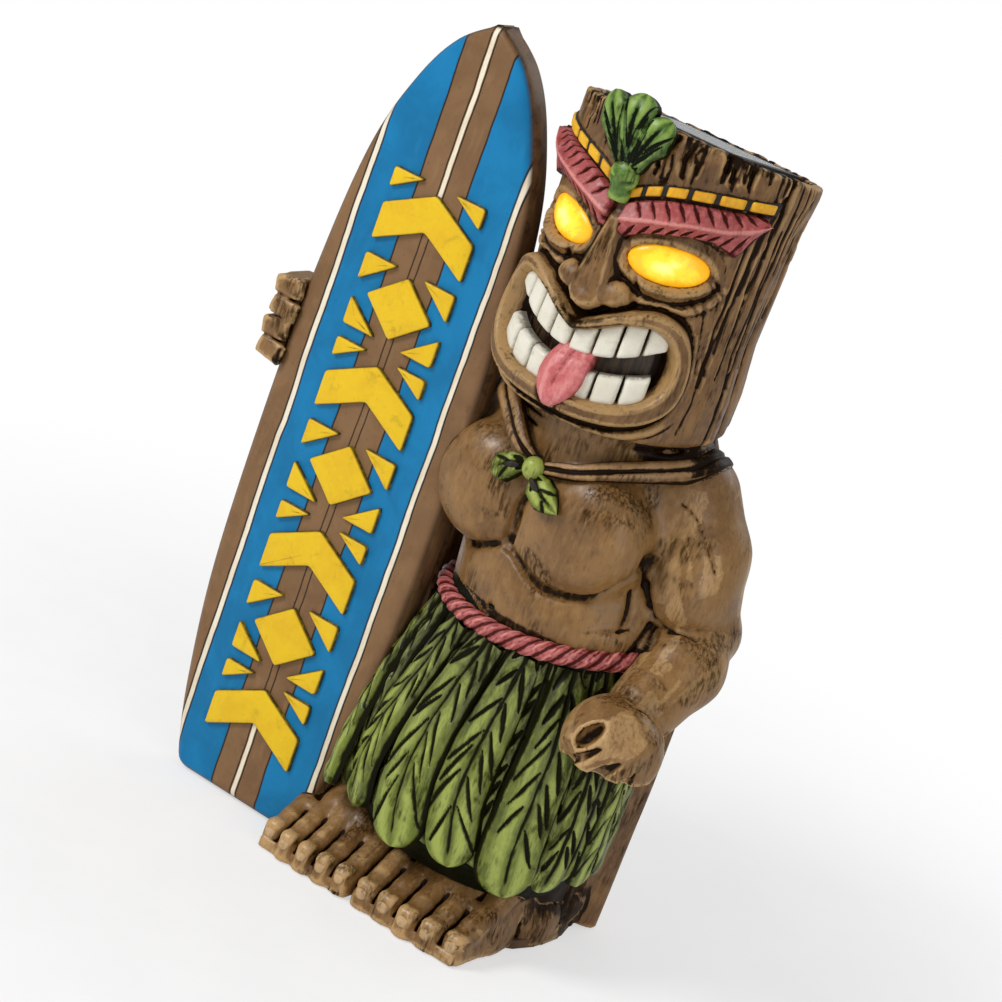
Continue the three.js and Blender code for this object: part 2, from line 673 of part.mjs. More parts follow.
function headCasting() {
  const socket = HOLDER_RADIUS + 3;
  const sockets = [-1, 1].map((side) => placed(
    rod(socket, -1 - holderBack, 'y', 0, (-1 + holderBack) / 2, 0, 20), eyeSeat(side)));
  const nosePlug = block(24, 9, 60, 0, -HEAD_RADIUS + 6, 50);
  const shell = union([cut(log().add(face()), [headHollow()]), ...sockets, nosePlug]);
  const apertures = [-1, 1].map((side) => wrapped(eyeOutline(side, GAP), -LENS_THICKNESS - 2, 4));
  const bores = [-1, 1].map((side) => placed(
    rod(HOLDER_RADIUS + GAP, 30, 'y', 0, -LENS_THICKNESS - 15, 0, 20), eyeSeat(side)));
  const bowl = rod(HEAD_RADIUS + 1.8 - RIM_WIDTH, 2 * RIM_HEIGHT, 'z', 0, 0, RIM_HEIGHT, 32);
  const recess = placed(bowl, topSeat);
  const opening = placed(block(PANEL_SIZE + 2 * GAP, PANEL_SIZE + 2 * GAP, 60), topSeat);
  const neck = rod(NECK_RADIUS, 60, 'z', 0, 0, 0, 24);
  const board = moved(
    boardSlab(GAP), BOARD_X - FIGURE_X, BOARD_FRONT - FIGURE_Y - HEAD_Y, -HEAD_BOTTOM,
  );
  return cut(shell, [...apertures, ...bores, recess, opening, neck, board]);
}

function eyeLens(side) {
  return wrapped(eyeOutline(side, 0), -LENS_THICKNESS + GAP, 1.2);
}

// ---------------------------------------------------------------- leaf tuft

function leafTuft() {
  const front = -HEAD_RADIUS - 2.8;
  const root = vec(-1, front - 0.5, 99);
  const tips = [vec(-13, front, 127), vec(-1, front - 1, 130), vec(12, front, 125)];
  const lobes = tips.map((tip) => {
    const middle = root.clone().lerp(tip, 0.62);
    return limb([root, middle, tip], [4, 5.5, 3], 8);
  });
  const tie = ellipsoid(7, 4.5, 7, root.x, root.y, root.z);
  const log = rod(HEAD_RADIUS + 1.8 + GAP, 300, 'z', 0, 0, 0, 32);
  return cut(union([...lobes, tie]), [log]);
}

// ---------------------------------------------------------------- solar panel, in the top seat's frame

const flangeBottom = GAP + GASKET_THICKNESS + GAP;
const flangeTop = flangeBottom + PANEL_FLANGE_THICKNESS;
const panelOuter = PANEL_SIZE + 2 * PANEL_FLANGE;
const glandY = PANEL_SIZE / 2 - 9;

function solarHousing() {
  const tray = block(PANEL_SIZE, PANEL_SIZE, PANEL_DEPTH, 0, 0, flangeTop - PANEL_DEPTH / 2);
  const flangeMiddle = flangeTop - PANEL_FLANGE_THICKNESS / 2;
  const flange = block(panelOuter, panelOuter, PANEL_FLANGE_THICKNESS, 0, 0, flangeMiddle);
  const inner = PANEL_SIZE - 2 * PANEL_WALL;
  const panFloor = flangeTop - WINDOW_THICKNESS - CELL_THICKNESS - 2 * GAP;
  const pan = block(inner, inner, PANEL_DEPTH, 0, 0, panFloor + PANEL_DEPTH / 2);
  const well = block(inner - 8, inner - 8, PANEL_DEPTH, 0, 0, flangeTop + PANEL_WALL);
  const gland = rod(LEAD_RADIUS + 2, 4, 'z', 0, glandY, flangeTop - PANEL_DEPTH - 1.5, 12);
  const gate = rod(LEAD_RADIUS + LEAD_ROOM, 30, 'z', 0, glandY, flangeTop - PANEL_DEPTH, 12);
  return cut(union([tray, flange, gland]), [pan, well, gate]);
}

function solarGasket() {
  const inner = PANEL_SIZE + 2 * GAP;
  return cut(block(panelOuter, panelOuter, GASKET_THICKNESS, 0, 0, GAP + GASKET_THICKNESS / 2), [
    block(inner, inner, 10),
  ]);
}

function solarCell() {
  const side = PANEL_SIZE - 2 * (PANEL_WALL + GAP);
  const top = flangeTop - WINDOW_THICKNESS - GAP;
  return block(side, side, CELL_THICKNESS, 0, 0, top - CELL_THICKNESS / 2);
}

function solarWindow() {
  const side = PANEL_SIZE - 2 * (PANEL_WALL + GAP);
  return block(side, side, WINDOW_THICKNESS, 0, 0, flangeTop - WINDOW_THICKNESS / 2);
}

// ---------------------------------------------------------------- lit eyes, in an eye seat's frame

function ledHolder() {
  const front = holderFront;
  const back = holderBack;
  const profile = [
    [LED_RADIUS + GAP, back], [HOLDER_RADIUS, back], [HOLDER_RADIUS, front - 1],
    [HOLDER_RADIUS - 1.4, front - 1], [LED_RADIUS + 1.4, back + 3], [LED_RADIUS + GAP, back + 3],
    [LED_RADIUS + GAP, back],
  ];
  const points = profile.map(([radius, height]) => flat(radius, height));
  return solid(new THREE.LatheGeometry(points, 20));
}

function led() {
  const back = holderBack;
  const nose = back + LED_LENGTH - 1;
  const profile = [
    [0, back - LED_BASE], [LED_RADIUS + 0.5, back - LED_BASE], [LED_RADIUS + 0.5, back - GAP],
    [LED_RADIUS, back - GAP], [LED_RADIUS, nose - LED_RADIUS], [LED_RADIUS * 0.8, nose - 1],
    [LED_RADIUS * 0.4, nose - 0.2], [0, nose],
  ];
  const points = profile.map(([radius, height]) => flat(radius, height));
  return solid(new THREE.LatheGeometry(points, 16));
}

// ---------------------------------------------------------------- battery compartment
// The frame is the flange's seat on the cape: X as the figure, Y out of the back, Z up.

function boxScrewPlaces() {
  const x = boxWidth / 2 + BOX_FLANGE / 2;
  const z = boxHeight / 2 - 6;
  return [[-x, z], [x, z], [-x, -z], [x, -z]];
}

const leadGateXs = [-1, 0, 1].map((step) => cardX + step * LEAD_PITCH);

function boxShell() {
  const shell = block(boxWidth, boxFace - boxBack, boxHeight, 0, (boxFace + boxBack) / 2, 0);
  const flange = block(
    boxWidth + 2 * BOX_FLANGE, BOX_FLANGE_THICKNESS, boxHeight + 2 * BOX_FLANGE,
    0, GAP + BOX_FLANGE_THICKNESS / 2, 0,
  );
  const deep = 60;
  const mouth = block(
    doorWidth + 2 * SLIDE_GAP, deep, doorHeight + 2 * SLIDE_GAP, 0, ledgeY + deep / 2, doorMiddle,
  );
  const bay = block(bayWidth, deep, bayHeight, 0, bayFloor + deep / 2, (bayTop + bayBottom) / 2);
  return cut(union([shell, flange]), [mouth, bay]);
}

function hingeEar(side) {
  const x = side * (HINGE_KNUCKLE / 2 + SLIDE_GAP + HINGE_EAR / 2);
  const root = boxFace - 0.5;
  const height = 1.4 * HINGE_RADIUS;
  const web = block(HINGE_EAR, hingeY - root, height, x, (hingeY + root) / 2, hingeZ - 0.3 * HINGE_RADIUS);
  return rod(HINGE_RADIUS, HINGE_EAR, 'x', x, hingeY, hingeZ, 16).add(web);
}

function batteryBox() {
  const bossTop = ledgeY - 1;
  const boss = block(9, bossTop - bayFloor + 0.5, 9, cardX, (bossTop + bayFloor - 0.5) / 2, doorScrewZ);
  const slot = block(
    SLIDER_WIDTH + SLIDER_TRAVEL + 2 * SLIDE_GAP, 20, SLIDER_HEIGHT + 2 * SLIDE_GAP,
    0, boxFace, switchZ,
  );
  const switchBay = block(
    SWITCH_WIDTH + 2 * GAP, 60, SWITCH_HEIGHT + 2 * GAP, 0, boxFace - SWITCH_SKIN - 30, switchZ,
  );
  const screwHole = rod(
    DOOR_SCREW_RADIUS + DOOR_SCREW_SWING, 2 * DOOR_SCREW_LENGTH, 'y', cardX, bossTop, doorScrewZ, 16,
  );
  const pinHole = rod(HINGE_PIN_RADIUS + GAP, 40, 'x', 0, hingeY, hingeZ, 12);
  const knuckleRoom = rod(
    HINGE_RADIUS + SLIDE_GAP, HINGE_KNUCKLE + 2 * SLIDE_GAP, 'x', 0, hingeY, hingeZ, 16,
  );
  const screwHoles = boxScrewPlaces().map(([x, z]) => rod(BOX_SCREW_RADIUS + GAP, 20, 'y', x, GAP, z, 12));
  const leadGates = leadGateXs.map((x) => rod(LEAD_RADIUS + LEAD_ROOM, 10, 'y', x, boxBack, leadGateZ, 12));
  return cut(union([boxShell(), boss, hingeEar(-1), hingeEar(1)]), [
    slot, switchBay, screwHole, pinHole, knuckleRoom, ...screwHoles, ...leadGates,
  ]);
}

function batteryDoor() {
  const plate = block(doorWidth, DOOR_THICKNESS, doorHeight, 0, boxFace - DOOR_THICKNESS / 2, doorMiddle);
  const knuckle = rod(HINGE_RADIUS, HINGE_KNUCKLE, 'x', 0, hingeY, hingeZ, 16);
  const strap = block(
    HINGE_KNUCKLE, hingeY - doorInside, 5, 0, (hingeY + doorInside) / 2, doorBottom + 2.5,
  );
  const arm = block(HINGE_KNUCKLE, 1.6, 5, 0, hingeY + 0.6, hingeZ + 2.5);
  const screwHole = rod(DOOR_SCREW_RADIUS + GAP, 20, 'y', cardX, boxFace, doorScrewZ, 16);
  const pinHole = rod(HINGE_PIN_RADIUS + GAP, 40, 'x', 0, hingeY, hingeZ, 12);
  return cut(union([plate, knuckle, strap, arm]), [screwHole, pinHole]);
}

function doorGasket() {
  const y = ledgeY + GAP + GASKET_THICKNESS / 2;
  const ring = block(doorWidth, GASKET_THICKNESS, doorHeight, 0, y, doorMiddle);
  return cut(ring, [block(bayWidth, 10, bayHeight, 0, y, doorMiddle)]);
}

function doorHingePin() {
  return rod(HINGE_PIN_RADIUS, HINGE_KNUCKLE + 2 * (SLIDE_GAP + HINGE_EAR), 'x', 0, hingeY, hingeZ, 12);
}

// A slotted screw along Y with its head's underside just off the flange.
function screw(radius, headRadius, length, x, z) {
  const under = boxFace + GAP;
  const shank = rod(radius, length, 'y', x, under - length / 2, z, 12);
  const head = rod(headRadius, SCREW_HEAD_THICKNESS, 'y', x, under + SCREW_HEAD_THICKNESS / 2, z, 16);
  const slot = block(2 * headRadius + 1, 1.2, 0.8, x, under + SCREW_HEAD_THICKNESS, z);
  return cut(shank.add(head), [slot]);
}

function batteryCell() {
  const can = rod(CELL_RADIUS, CELL_LENGTH, 'z', cellX, cellY, cellZ, 24);
  const top = cellZ + CELL_LENGTH / 2;
  return can.add(rod(CELL_BUTTON_RADIUS, 2 * CELL_BUTTON_LENGTH, 'z', cellX, cellY, top, 16));
}

// The spring is a plain cone between the cell's flat end and the bay's lower wall.
function contactSpring() {
  const cone = new THREE.CylinderGeometry(2.4, 4.2, SPRING_LENGTH, 16).rotateX(Math.PI / 2);
  return solid(cone.translate(cellX, cellY, bayBottom + GAP + SPRING_LENGTH / 2));
}

function contactPlate() {
  return block(9, 9, CONTACT_THICKNESS, cellX, cellY, bayTop - GAP - CONTACT_THICKNESS / 2);
}

function circuitBoard() {
  const y = bayFloor + GAP + CARD_THICKNESS / 2;
  const bottom = bayBottom + 1;
  const top = doorScrewZ - 6;
  const face = y + CARD_THICKNESS / 2;
  const card = block(CARD_WIDTH, CARD_THICKNESS, top - bottom, cardX, y, (top + bottom) / 2);
  const chip = block(5, 2, 6, cardX, face + 0.9, bottom + 0.6 * (top - bottom));
  const coil = rod(2.6, 5, 'y', cardX, face + 2.4, bottom + 0.35 * (top - bottom), 14);
  return union([card, chip, coil]);
}

function switchBody() {
  const top = boxFace - SWITCH_SKIN - GAP;
  return block(SWITCH_WIDTH, SWITCH_DEPTH, SWITCH_HEIGHT, 0, top - SWITCH_DEPTH / 2, switchZ);
}

function switchSlider() {
  const base = boxFace - SWITCH_SKIN;
  const tip = boxFace + SLIDER_RISE;
  return block(SLIDER_WIDTH, tip - base, SLIDER_HEIGHT, -SLIDER_TRAVEL / 2, (tip + base) / 2, switchZ);
}

// ---------------------------------------------------------------- leads, from the figure's axis

function lead(points) {
  const path = new THREE.CatmullRomCurve3(points);
  const section = new THREE.Shape(flatOval(0, 0, LEAD_RADIUS, LEAD_RADIUS, 6));
  return solid(new THREE.ExtrudeGeometry(section, { steps: 30, extrudePath: path }));
}

// Every lead drops through the neck, follows the inside of the back and enters the box from behind.
function leadTail(gate) {
  const x = BOX_X + leadGateXs[gate];
  const y = boxSeatY + boxBack;
  const z = BOX_Z + leadGateZ;
  return [
    vec(x - 4, y - 16, z + 70),
    vec(x, y - 8, z + 30),
    vec(x, y - 8, z + 8),
    vec(x, y - 4, z),
    vec(x, y + BOX_WALL, z),
  ];
}

const headFrame = new THREE.Matrix4().setPosition(0, HEAD_Y, HEAD_BOTTOM);

function solarLead() {
  const toFigure = headFrame.clone().multiply(topSeat);
  const glandEnd = flangeTop - PANEL_DEPTH - 2;
  const start = [0, -4].map((drop) => vec(0, glandY, glandEnd + drop).applyMatrix4(toFigure));
  const neck = [
    vec(0, HEAD_Y + 28, HEAD_BOTTOM + 70),
    vec(0, HEAD_Y + 12, HEAD_BOTTOM + 12),
    vec(0, HEAD_Y + 12, HEAD_BOTTOM - 10),
  ];
  return lead([...start, ...neck, ...leadTail(1)]);
}

function ledLead(side) {
  const toFigure = headFrame.clone().multiply(eyeSeat(side));
  const ledBack = holderBack - LED_BASE - GAP;
  const start = [0, -4].map((drop) => vec(0, ledBack + drop, 0).applyMatrix4(toFigure));
  const neck = [
    vec(side * 24, HEAD_Y - 24, HEAD_BOTTOM + 42),
    vec(side * 12, HEAD_Y + 2, HEAD_BOTTOM + 12),
    vec(side * 8, HEAD_Y + 6, HEAD_BOTTOM - 10),
  ];
  return lead([...start, ...neck, ...leadTail(side > 0 ? 2 : 0)]);
}

// ---------------------------------------------------------------- assembly

function battery() {
  const group = new THREE.Group();
  group.position.set(BOX_X, boxSeatY, BOX_Z);
  group.add(
    node('battery_box', batteryBox(), 'brownPlastic'),
    node('battery_door', batteryDoor(), 'brownPlastic'),
    node('door_gasket', doorGasket(), 'rubber'),
    node('door_hinge_pin', doorHingePin(), 'steel'),
    node(
      'door_screw',
      screw(DOOR_SCREW_RADIUS, DOOR_SCREW_HEAD, DOOR_SCREW_LENGTH, cardX, doorScrewZ),
      'steel',
    ),
    node('battery_cell', batteryCell(), 'cell'),
    node('contact_spring', contactSpring(), 'steel'),
    node('contact_plate', contactPlate(), 'steel'),
    node('circuit_board', circuitBoard(), 'circuit'),
    node('switch_body', switchBody(), 'blackPlastic'),
    node('switch_slider', switchSlider(), 'whitePlastic'),
  );
  boxScrewPlaces().forEach(([x, z], i) => group.add(node(
    `box_screw_${i + 1}`,
    screw(BOX_SCREW_RADIUS, BOX_SCREW_HEAD, BOX_SCREW_LENGTH, x, z),
    'steel',
  )));
  return group;
}

function solarPanel() {
  const group = new THREE.Group();
  group.applyMatrix4(topSeat);
  group.add(
    node('solar_housing', solarHousing(), 'blackPlastic'),
    node('solar_gasket', solarGasket(), 'rubber'),
    node('solar_cell', solarCell(), 'silicon'),
    node('solar_window', solarWindow(), 'clear'),
  );
  return group;
}

function litEye(side, word) {
  const group = new THREE.Group();
  group.applyMatrix4(eyeSeat(side));
  group.add(
    node(`led_holder_${word}`, ledHolder(), 'whitePlastic'),
    node(`led_${word}`, led(), 'amber'),
  );
  return group;
}

function head() {
  const group = new THREE.Group();
  group.position.set(0, HEAD_Y, HEAD_BOTTOM);
  group.add(
    node('head_casting', headCasting(), 'wood'),
    node('leaf_tuft', leafTuft(), 'leaf'),
    node('eye_lens_left', eyeLens(-1), 'amber'),
    node('eye_lens_right', eyeLens(1), 'amber'),
    litEye(-1, 'left'),
    litEye(1, 'right'),
    solarPanel(),
  );
  return group;
}

function figure() {
  const group = new THREE.Group();
  group.position.set(FIGURE_X, FIGURE_Y, 0);
  group.add(
    node('figure_casting', figureCasting(), 'wood'),
    node('base_plate', basePlate(), 'plate'),
    head(),
    battery(),
    node('solar_lead', solarLead(), 'lead'),
    node('led_lead_left', ledLead(-1), 'lead'),
    node('led_lead_right', ledLead(1), 'lead'),
  );
  return group;
}

const ornament = new THREE.Group();
const board = node('surfboard_casting', surfboard(), 'board');
board.position.set(BOARD_X, BOARD_FRONT, 0);
ornament.add(figure(), board);

export default ornament;
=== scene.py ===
"""Looks for the tiki figure with a surfboard: a hand-painted cast resin garden ornament.

The castings are modelled as a sculptor would: clay is built up and carved as signed distances on a
regular grid, then turned into a mesh. Every vertex also keeps how deep in a crease it lies ("wash",
where dark antiquing stays; it also carries painted shade in broad hollows and crowded corners) and how
proud it stands ("ridge", where dry-brushing catches; on chiselled pieces it also carries painted light
on some facets).
Working units are millimetres in the row frame; meshes are made in metres.
"""
import math

import bpy
import numpy as np
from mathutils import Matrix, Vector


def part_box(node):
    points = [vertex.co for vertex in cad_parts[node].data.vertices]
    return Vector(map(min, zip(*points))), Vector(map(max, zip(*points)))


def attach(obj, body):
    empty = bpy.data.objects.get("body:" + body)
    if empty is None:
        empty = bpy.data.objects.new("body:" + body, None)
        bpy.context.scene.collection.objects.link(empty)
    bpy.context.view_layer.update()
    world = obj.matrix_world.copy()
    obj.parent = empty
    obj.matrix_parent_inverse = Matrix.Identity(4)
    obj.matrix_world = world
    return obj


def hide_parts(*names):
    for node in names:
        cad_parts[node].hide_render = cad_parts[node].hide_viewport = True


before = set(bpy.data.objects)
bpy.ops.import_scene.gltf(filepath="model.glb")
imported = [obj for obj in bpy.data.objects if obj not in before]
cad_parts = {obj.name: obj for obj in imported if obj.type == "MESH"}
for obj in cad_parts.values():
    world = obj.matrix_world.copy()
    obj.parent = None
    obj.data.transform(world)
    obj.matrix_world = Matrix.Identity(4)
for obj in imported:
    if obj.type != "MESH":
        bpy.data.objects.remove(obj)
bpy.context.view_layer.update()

import openvdb
from mathutils import Matrix, Vector
from mathutils.bvhtree import BVHTree

RNG = np.random.default_rng(7)

# ------------------------------------------------------------------ places, from the CAD part

FIGURE = np.array([30.9, 1.1, 0.0])          # the figure's upright axis at the floor
HEAD = np.array([30.9, -4.9, 224.0])         # the log's axis at its underside
HEAD_R = 48.6
BOARD_X, BOARD_FRONT, BOARD_H, BOARD_T, BOARD_W = -56.6, -34.9, 350.0, 15.0, 48.5
FIST = np.array([71.6, -42, 112.0])          # the left fist's middle, from FIGURE
FEET = (("left", -32.5, 9.7), ("right", 21.5, 11.2))        # each foot's middle and the pitch of its toes
GRIP_Z, FINGER_PITCH = 201, 9.2              # the hand on the board's rail
WAIST_X, WAIST_Y, WAIST_HALF_X, WAIST_HALF_Y = 12, -2.0, 50.6, 42.0
ROPE_R = 3.75
FLOOR_GAP = 0.1                              # how high the cape, legs and feet end over the floor

CAMERA_AZIMUTH, CAMERA_DIP, CAMERA_ROLL = 27.41, 17.29, 20.09        # degrees
CAMERA_AIM, CAMERA_DISTANCE, CAMERA_LENS = np.array([16.5, -34.9, 176.8]), 1251, 112.6        # mm
LIGHTS = (("key", 16, 0.55, (-0.75, -1.15, 1.25)), ("fill", 5, 1.0, (1.3, -0.9, 0.6)),
          ("back", 5, 1.0, (0.4, 1.4, 1.1)))         # each light's watts, and its size and place in metres
LIGHT_AIM = (0, 0, 0.18)
SKY_LEVEL = 0.42


def node_box(name):
    """A CAD node's corners in millimetres."""
    low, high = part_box(name)
    return np.array(low) * 1000, np.array(high) * 1000


# ------------------------------------------------------------------ mesh making


def piece(name, verts, faces, material, wash=None, ridge=None, tone=None, body="statue",
          slot="painted_resin_brown", replaces=()):
    """A mesh object from points in millimetres. Faces are all quads or all triangles."""
    verts = np.asarray(verts, np.float32) / 1000
    faces = np.asarray(faces, np.int32)
    mesh = bpy.data.meshes.new(name)
    sides = faces.shape[1]
    mesh.vertices.add(len(verts))
    mesh.vertices.foreach_set("co", verts.ravel())
    mesh.loops.add(faces.size)
    mesh.loops.foreach_set("vertex_index", faces.ravel())
    mesh.polygons.add(len(faces))
    mesh.polygons.foreach_set("loop_start", np.arange(0, faces.size, sides, dtype=np.int32))
    mesh.polygons.foreach_set("use_smooth", np.full(len(faces), True))
    mesh.update(calc_edges=True)
    mesh.validate()
    for label, values in (("wash", wash), ("ridge", ridge), ("tone", tone)):
        attribute = mesh.attributes.new(label, "FLOAT", "POINT")
        if values is None:
            values = np.zeros(len(verts))
        attribute.data.foreach_set("value", np.asarray(values, np.float32))
    thing = bpy.data.objects.new(name, mesh)
    bpy.context.scene.collection.objects.link(thing)
    for item in material if isinstance(material, (list, tuple)) else [material]:
        mesh.materials.append(item)
    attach(thing, body)
    if replaces:
        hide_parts(*replaces)
    return thing


def grid_faces(rows, columns, closed=False):
    """Quads over a grid of rows by columns points. closed joins the last column to the first."""
    wrap = columns if closed else columns - 1
    r, c = np.meshgrid(np.arange(rows - 1), np.arange(wrap), indexing="ij")
    a = r * columns + c
    b = r * columns + (c + 1) % columns
    return np.stack([a, b, b + columns, a + columns], -1).reshape(-1, 4)


def facing_out(faces, side):
    """Faces of a piece on the right as they are, and turned over for its mirrored copy on the left."""
    return faces if side > 0 else faces[:, ::-1]


def lean_by(angle):
    return Matrix.Rotation(angle, 3, "Y").to_quaternion()


# ------------------------------------------------------------------ signed distances


def smooth_min(a, b, soft):
    """The lesser of two distances, blended over the width soft where they meet."""
    if soft <= 0:
        return np.minimum(a, b)
    h = np.clip(0.5 + 0.5 * (b - a) / soft, 0, 1)
    return b + (a - b) * h - soft * h * (1 - h)


def smooth_max(a, b, soft):
    return -smooth_min(-a, -b, soft)


def step_up(x, low, high):
    """0 below low, 1 above high, and a smooth rise between."""
    t = np.clip((x - low) / (high - low), 0, 1)
    return t * t * (3 - 2 * t)


def bump_at(x, width):
    return np.exp(-(x / width) ** 2)


def oval_blob(centre, radii, turn=None):
    """An ellipsoid. Like every shape here: its distance function and the corners of its reach."""
    centre, radii = np.asarray(centre, float), np.asarray(radii, float)
    spin = np.identity(3) if turn is None else np.array(turn.to_matrix().transposed())

    def distance(x, y, z):
        p = [x - centre[0], y - centre[1], z - centre[2]]
        q = [spin[i][0] * p[0] + spin[i][1] * p[1] + spin[i][2] * p[2] for i in range(3)]
        k0 = np.sqrt(sum((q[i] / radii[i]) ** 2 for i in range(3))) + 1e-6
        k1 = np.sqrt(sum((q[i] / radii[i] ** 2) ** 2 for i in range(3))) + 1e-6
        return k0 * (k0 - 1) / k1

    reach = radii.max()
    return distance, centre - reach, centre + reach


def taper(a, b, ra, rb):
    """A round bar from a to b whose radius goes from ra to rb."""
    a, b = np.asarray(a, float), np.asarray(b, float)
    along = b - a
    length2 = along @ along

    def distance(x, y, z):
        p = [x - a[0], y - a[1], z - a[2]]
        h = np.clip((p[0] * along[0] + p[1] * along[1] + p[2] * along[2]) / length2, 0, 1)
        gap = np.sqrt(sum((p[i] - h * along[i]) ** 2 for i in range(3)))
        return gap - (ra + (rb - ra) * h)

    reach = max(ra, rb)
    return distance, np.minimum(a, b) - reach, np.maximum(a, b) + reach


def brick(centre, half, round_by=1.0, turn=None):
    """A box with rounded edges, given by its half sizes."""
    centre, half = np.asarray(centre, float), np.asarray(half, float)
    spin = np.identity(3) if turn is None else np.array(turn.to_matrix().transposed())

    def distance(x, y, z):
        p = [x - centre[0], y - centre[1], z - centre[2]]
        q = [np.abs(spin[i][0] * p[0] + spin[i][1] * p[1] + spin[i][2] * p[2]) - half[i] + round_by
             for i in range(3)]
        outside = np.sqrt(sum(np.maximum(v, 0) ** 2 for v in q))
        inside = np.minimum(np.maximum(np.maximum(q[0], q[1]), q[2]), 0)
        return outside + inside - round_by

    reach = np.linalg.norm(half) if turn is not None else half
    return distance, centre - reach, centre + reach


class Clay:
    """A block of clay on a grid. Shapes are added and carved in the frame whose origin is given."""

    REACH = 6.0

    def __init__(self, low, high, step, origin=(0, 0, 0)):
        self.step = step * 1.0
        self.origin = np.asarray(origin, float)
        self.low = np.asarray(low, float)
        self.count = np.ceil((np.asarray(high, float) - self.low) / self.step).astype(int) + 1
        self.axes = [
            (self.low[i] + self.step * np.arange(self.count[i])).astype(np.float32) for i in range(3)
        ]
        self.d = np.full(self.count, 50.0, np.float32)

    def window(self, low, high, pad=REACH):
        cuts = []
        for i in range(3):
            first = int(np.clip(math.floor((low[i] - pad - self.low[i]) / self.step), 0, self.count[i]))
            last = int(np.clip(math.ceil((high[i] + pad - self.low[i]) / self.step) + 1, 0, self.count[i]))
            cuts.append(slice(first, last))
        shapes = ((-1, 1, 1), (1, -1, 1), (1, 1, -1))
        return tuple(cuts), [self.axes[i][cuts[i]].reshape(shapes[i]) for i in range(3)]

    def add(self, shape, soft=0.0):
        distance, low, high = shape
        cut, (x, y, z) = self.window(low, high, self.REACH + soft)
        if self.d[cut].size:
            self.d[cut] = smooth_min(self.d[cut], distance(x, y, z).astype(np.float32), soft)

    def carve(self, shape, soft=0.0):
        distance, low, high = shape
        cut, (x, y, z) = self.window(low, high, self.REACH + soft)
        if self.d[cut].size:
            self.d[cut] = smooth_max(self.d[cut], -distance(x, y, z).astype(np.float32), soft)

    def everywhere(self):
        return self.window(self.low, self.low + self.step * self.count, 0)[1]

    def limb(self, points, radii, soft=3.0, inner=1.0):
        for i in range(len(points) - 1):
            self.add(taper(points[i], points[i + 1], radii[i], radii[i + 1]), soft if i == 0 else inner)

    def groove(self, points, radii, soft=0.8):
        if np.isscalar(radii):
            radii = [radii] * len(points)
        for i in range(len(points) - 1):
            self.carve(taper(points[i], points[i + 1], radii[i], radii[i + 1]), soft)

    def scratch(self, points, radii, soft=0.8, deep=0.0):
        """A groove laid along the surface itself, whatever lies under the path."""
        if np.isscalar(radii):
            radii = [radii] * len(points)
        line = spline(points, 5)
        wide = np.interp(np.linspace(0, len(points) - 1, len(line)), range(len(points)), radii)
        for _ in range(5):
            here = self.sample(self.d, line)
            ahead = [self.sample(self.d, line + self.step * way) for way in np.identity(3)]
            slope = np.stack([value - here for value in ahead], 1)
            slope /= np.linalg.norm(slope, axis=1)[:, None] + 1e-6
            line = line - slope * (np.clip(here, -4, 4) + deep)[:, None]
        self.groove(list(line), list(wide), soft)

    def blurred(self, times):
        d = np.clip(self.d, -8, 8)
        for _ in range(times):
            for axis in range(3):
                forward = np.roll(d, 1, axis)
                back = np.roll(d, -1, axis)
                d = 0.5 * d + 0.25 * (forward + back)
        return d

    def sample(self, field, points):
        at = (points - self.low) / self.step
        at = np.clip(at, 0, self.count - 1.001)
        base = at.astype(int)
        part = at - base
        total = np.zeros(len(points))
        for i in (0, 1):
            for j in (0, 1):
                for k in (0, 1):
                    weight = (
                        (part[:, 0] if i else 1 - part[:, 0])
                        * (part[:, 1] if j else 1 - part[:, 1])
                        * (part[:, 2] if k else 1 - part[:, 2])
                    )
                    total += weight * field[base[:, 0] + i, base[:, 1] + j, base[:, 2] + k]
        return total

    def mesh(self):
        """Points (in the clay's own frame), quads, and each point's crease darkening and ridge from 0 to 1;
        the crease darkening is antiquing in fine creases and painted shade in broad hollows.
        """
        d = np.clip(self.d, -3 * self.step, 3 * self.step)
        d[[0, -1], :, :] = 3 * self.step
        d[:, [0, -1], :] = 3 * self.step
        d[:, :, [0, -1]] = 3 * self.step
        grid = openvdb.FloatGrid(3 * self.step)
        grid.copyFromArray(d.astype(np.float32))
        points, quads = grid.convertToQuads(0.0)
        points = points.astype(float) * self.step + self.low
        quads = quads[:, ::-1]
        scale = max(1, round((1.0 / self.step) ** 2))
        small = self.sample(self.blurred(2 * scale), points)
        large = self.sample(self.blurred(14 * scale), points)
        # wash: antiquing in fine creases, and painted shade in broad hollows (the wide blur) standing in for
        # ambient occlusion
        wash = step_up(-small, 0.03, 0.32) * 0.75 + step_up(-large, 0.15, 1.3) * 0.7
        ridge = step_up(small, 0.06, 0.30) * 0.6 + step_up(large, 0.4, 1.6) * 0.35
        return points, quads, np.clip(wash, 0, 1), np.clip(ridge, 0, 1)

    def make(self, name, material, **options):
        points, quads, wash, ridge = self.mesh()
        return piece(name, points + self.origin, quads, material, wash, ridge, **options)


# ------------------------------------------------------------------ materials


def linear(red, green, blue):
    def one(value):
        value /= 255
        return value / 12.92 if value <= 0.04045 else ((value + 0.055) / 1.055) ** 2.4
    return (one(red), one(green), one(blue), 1.0)


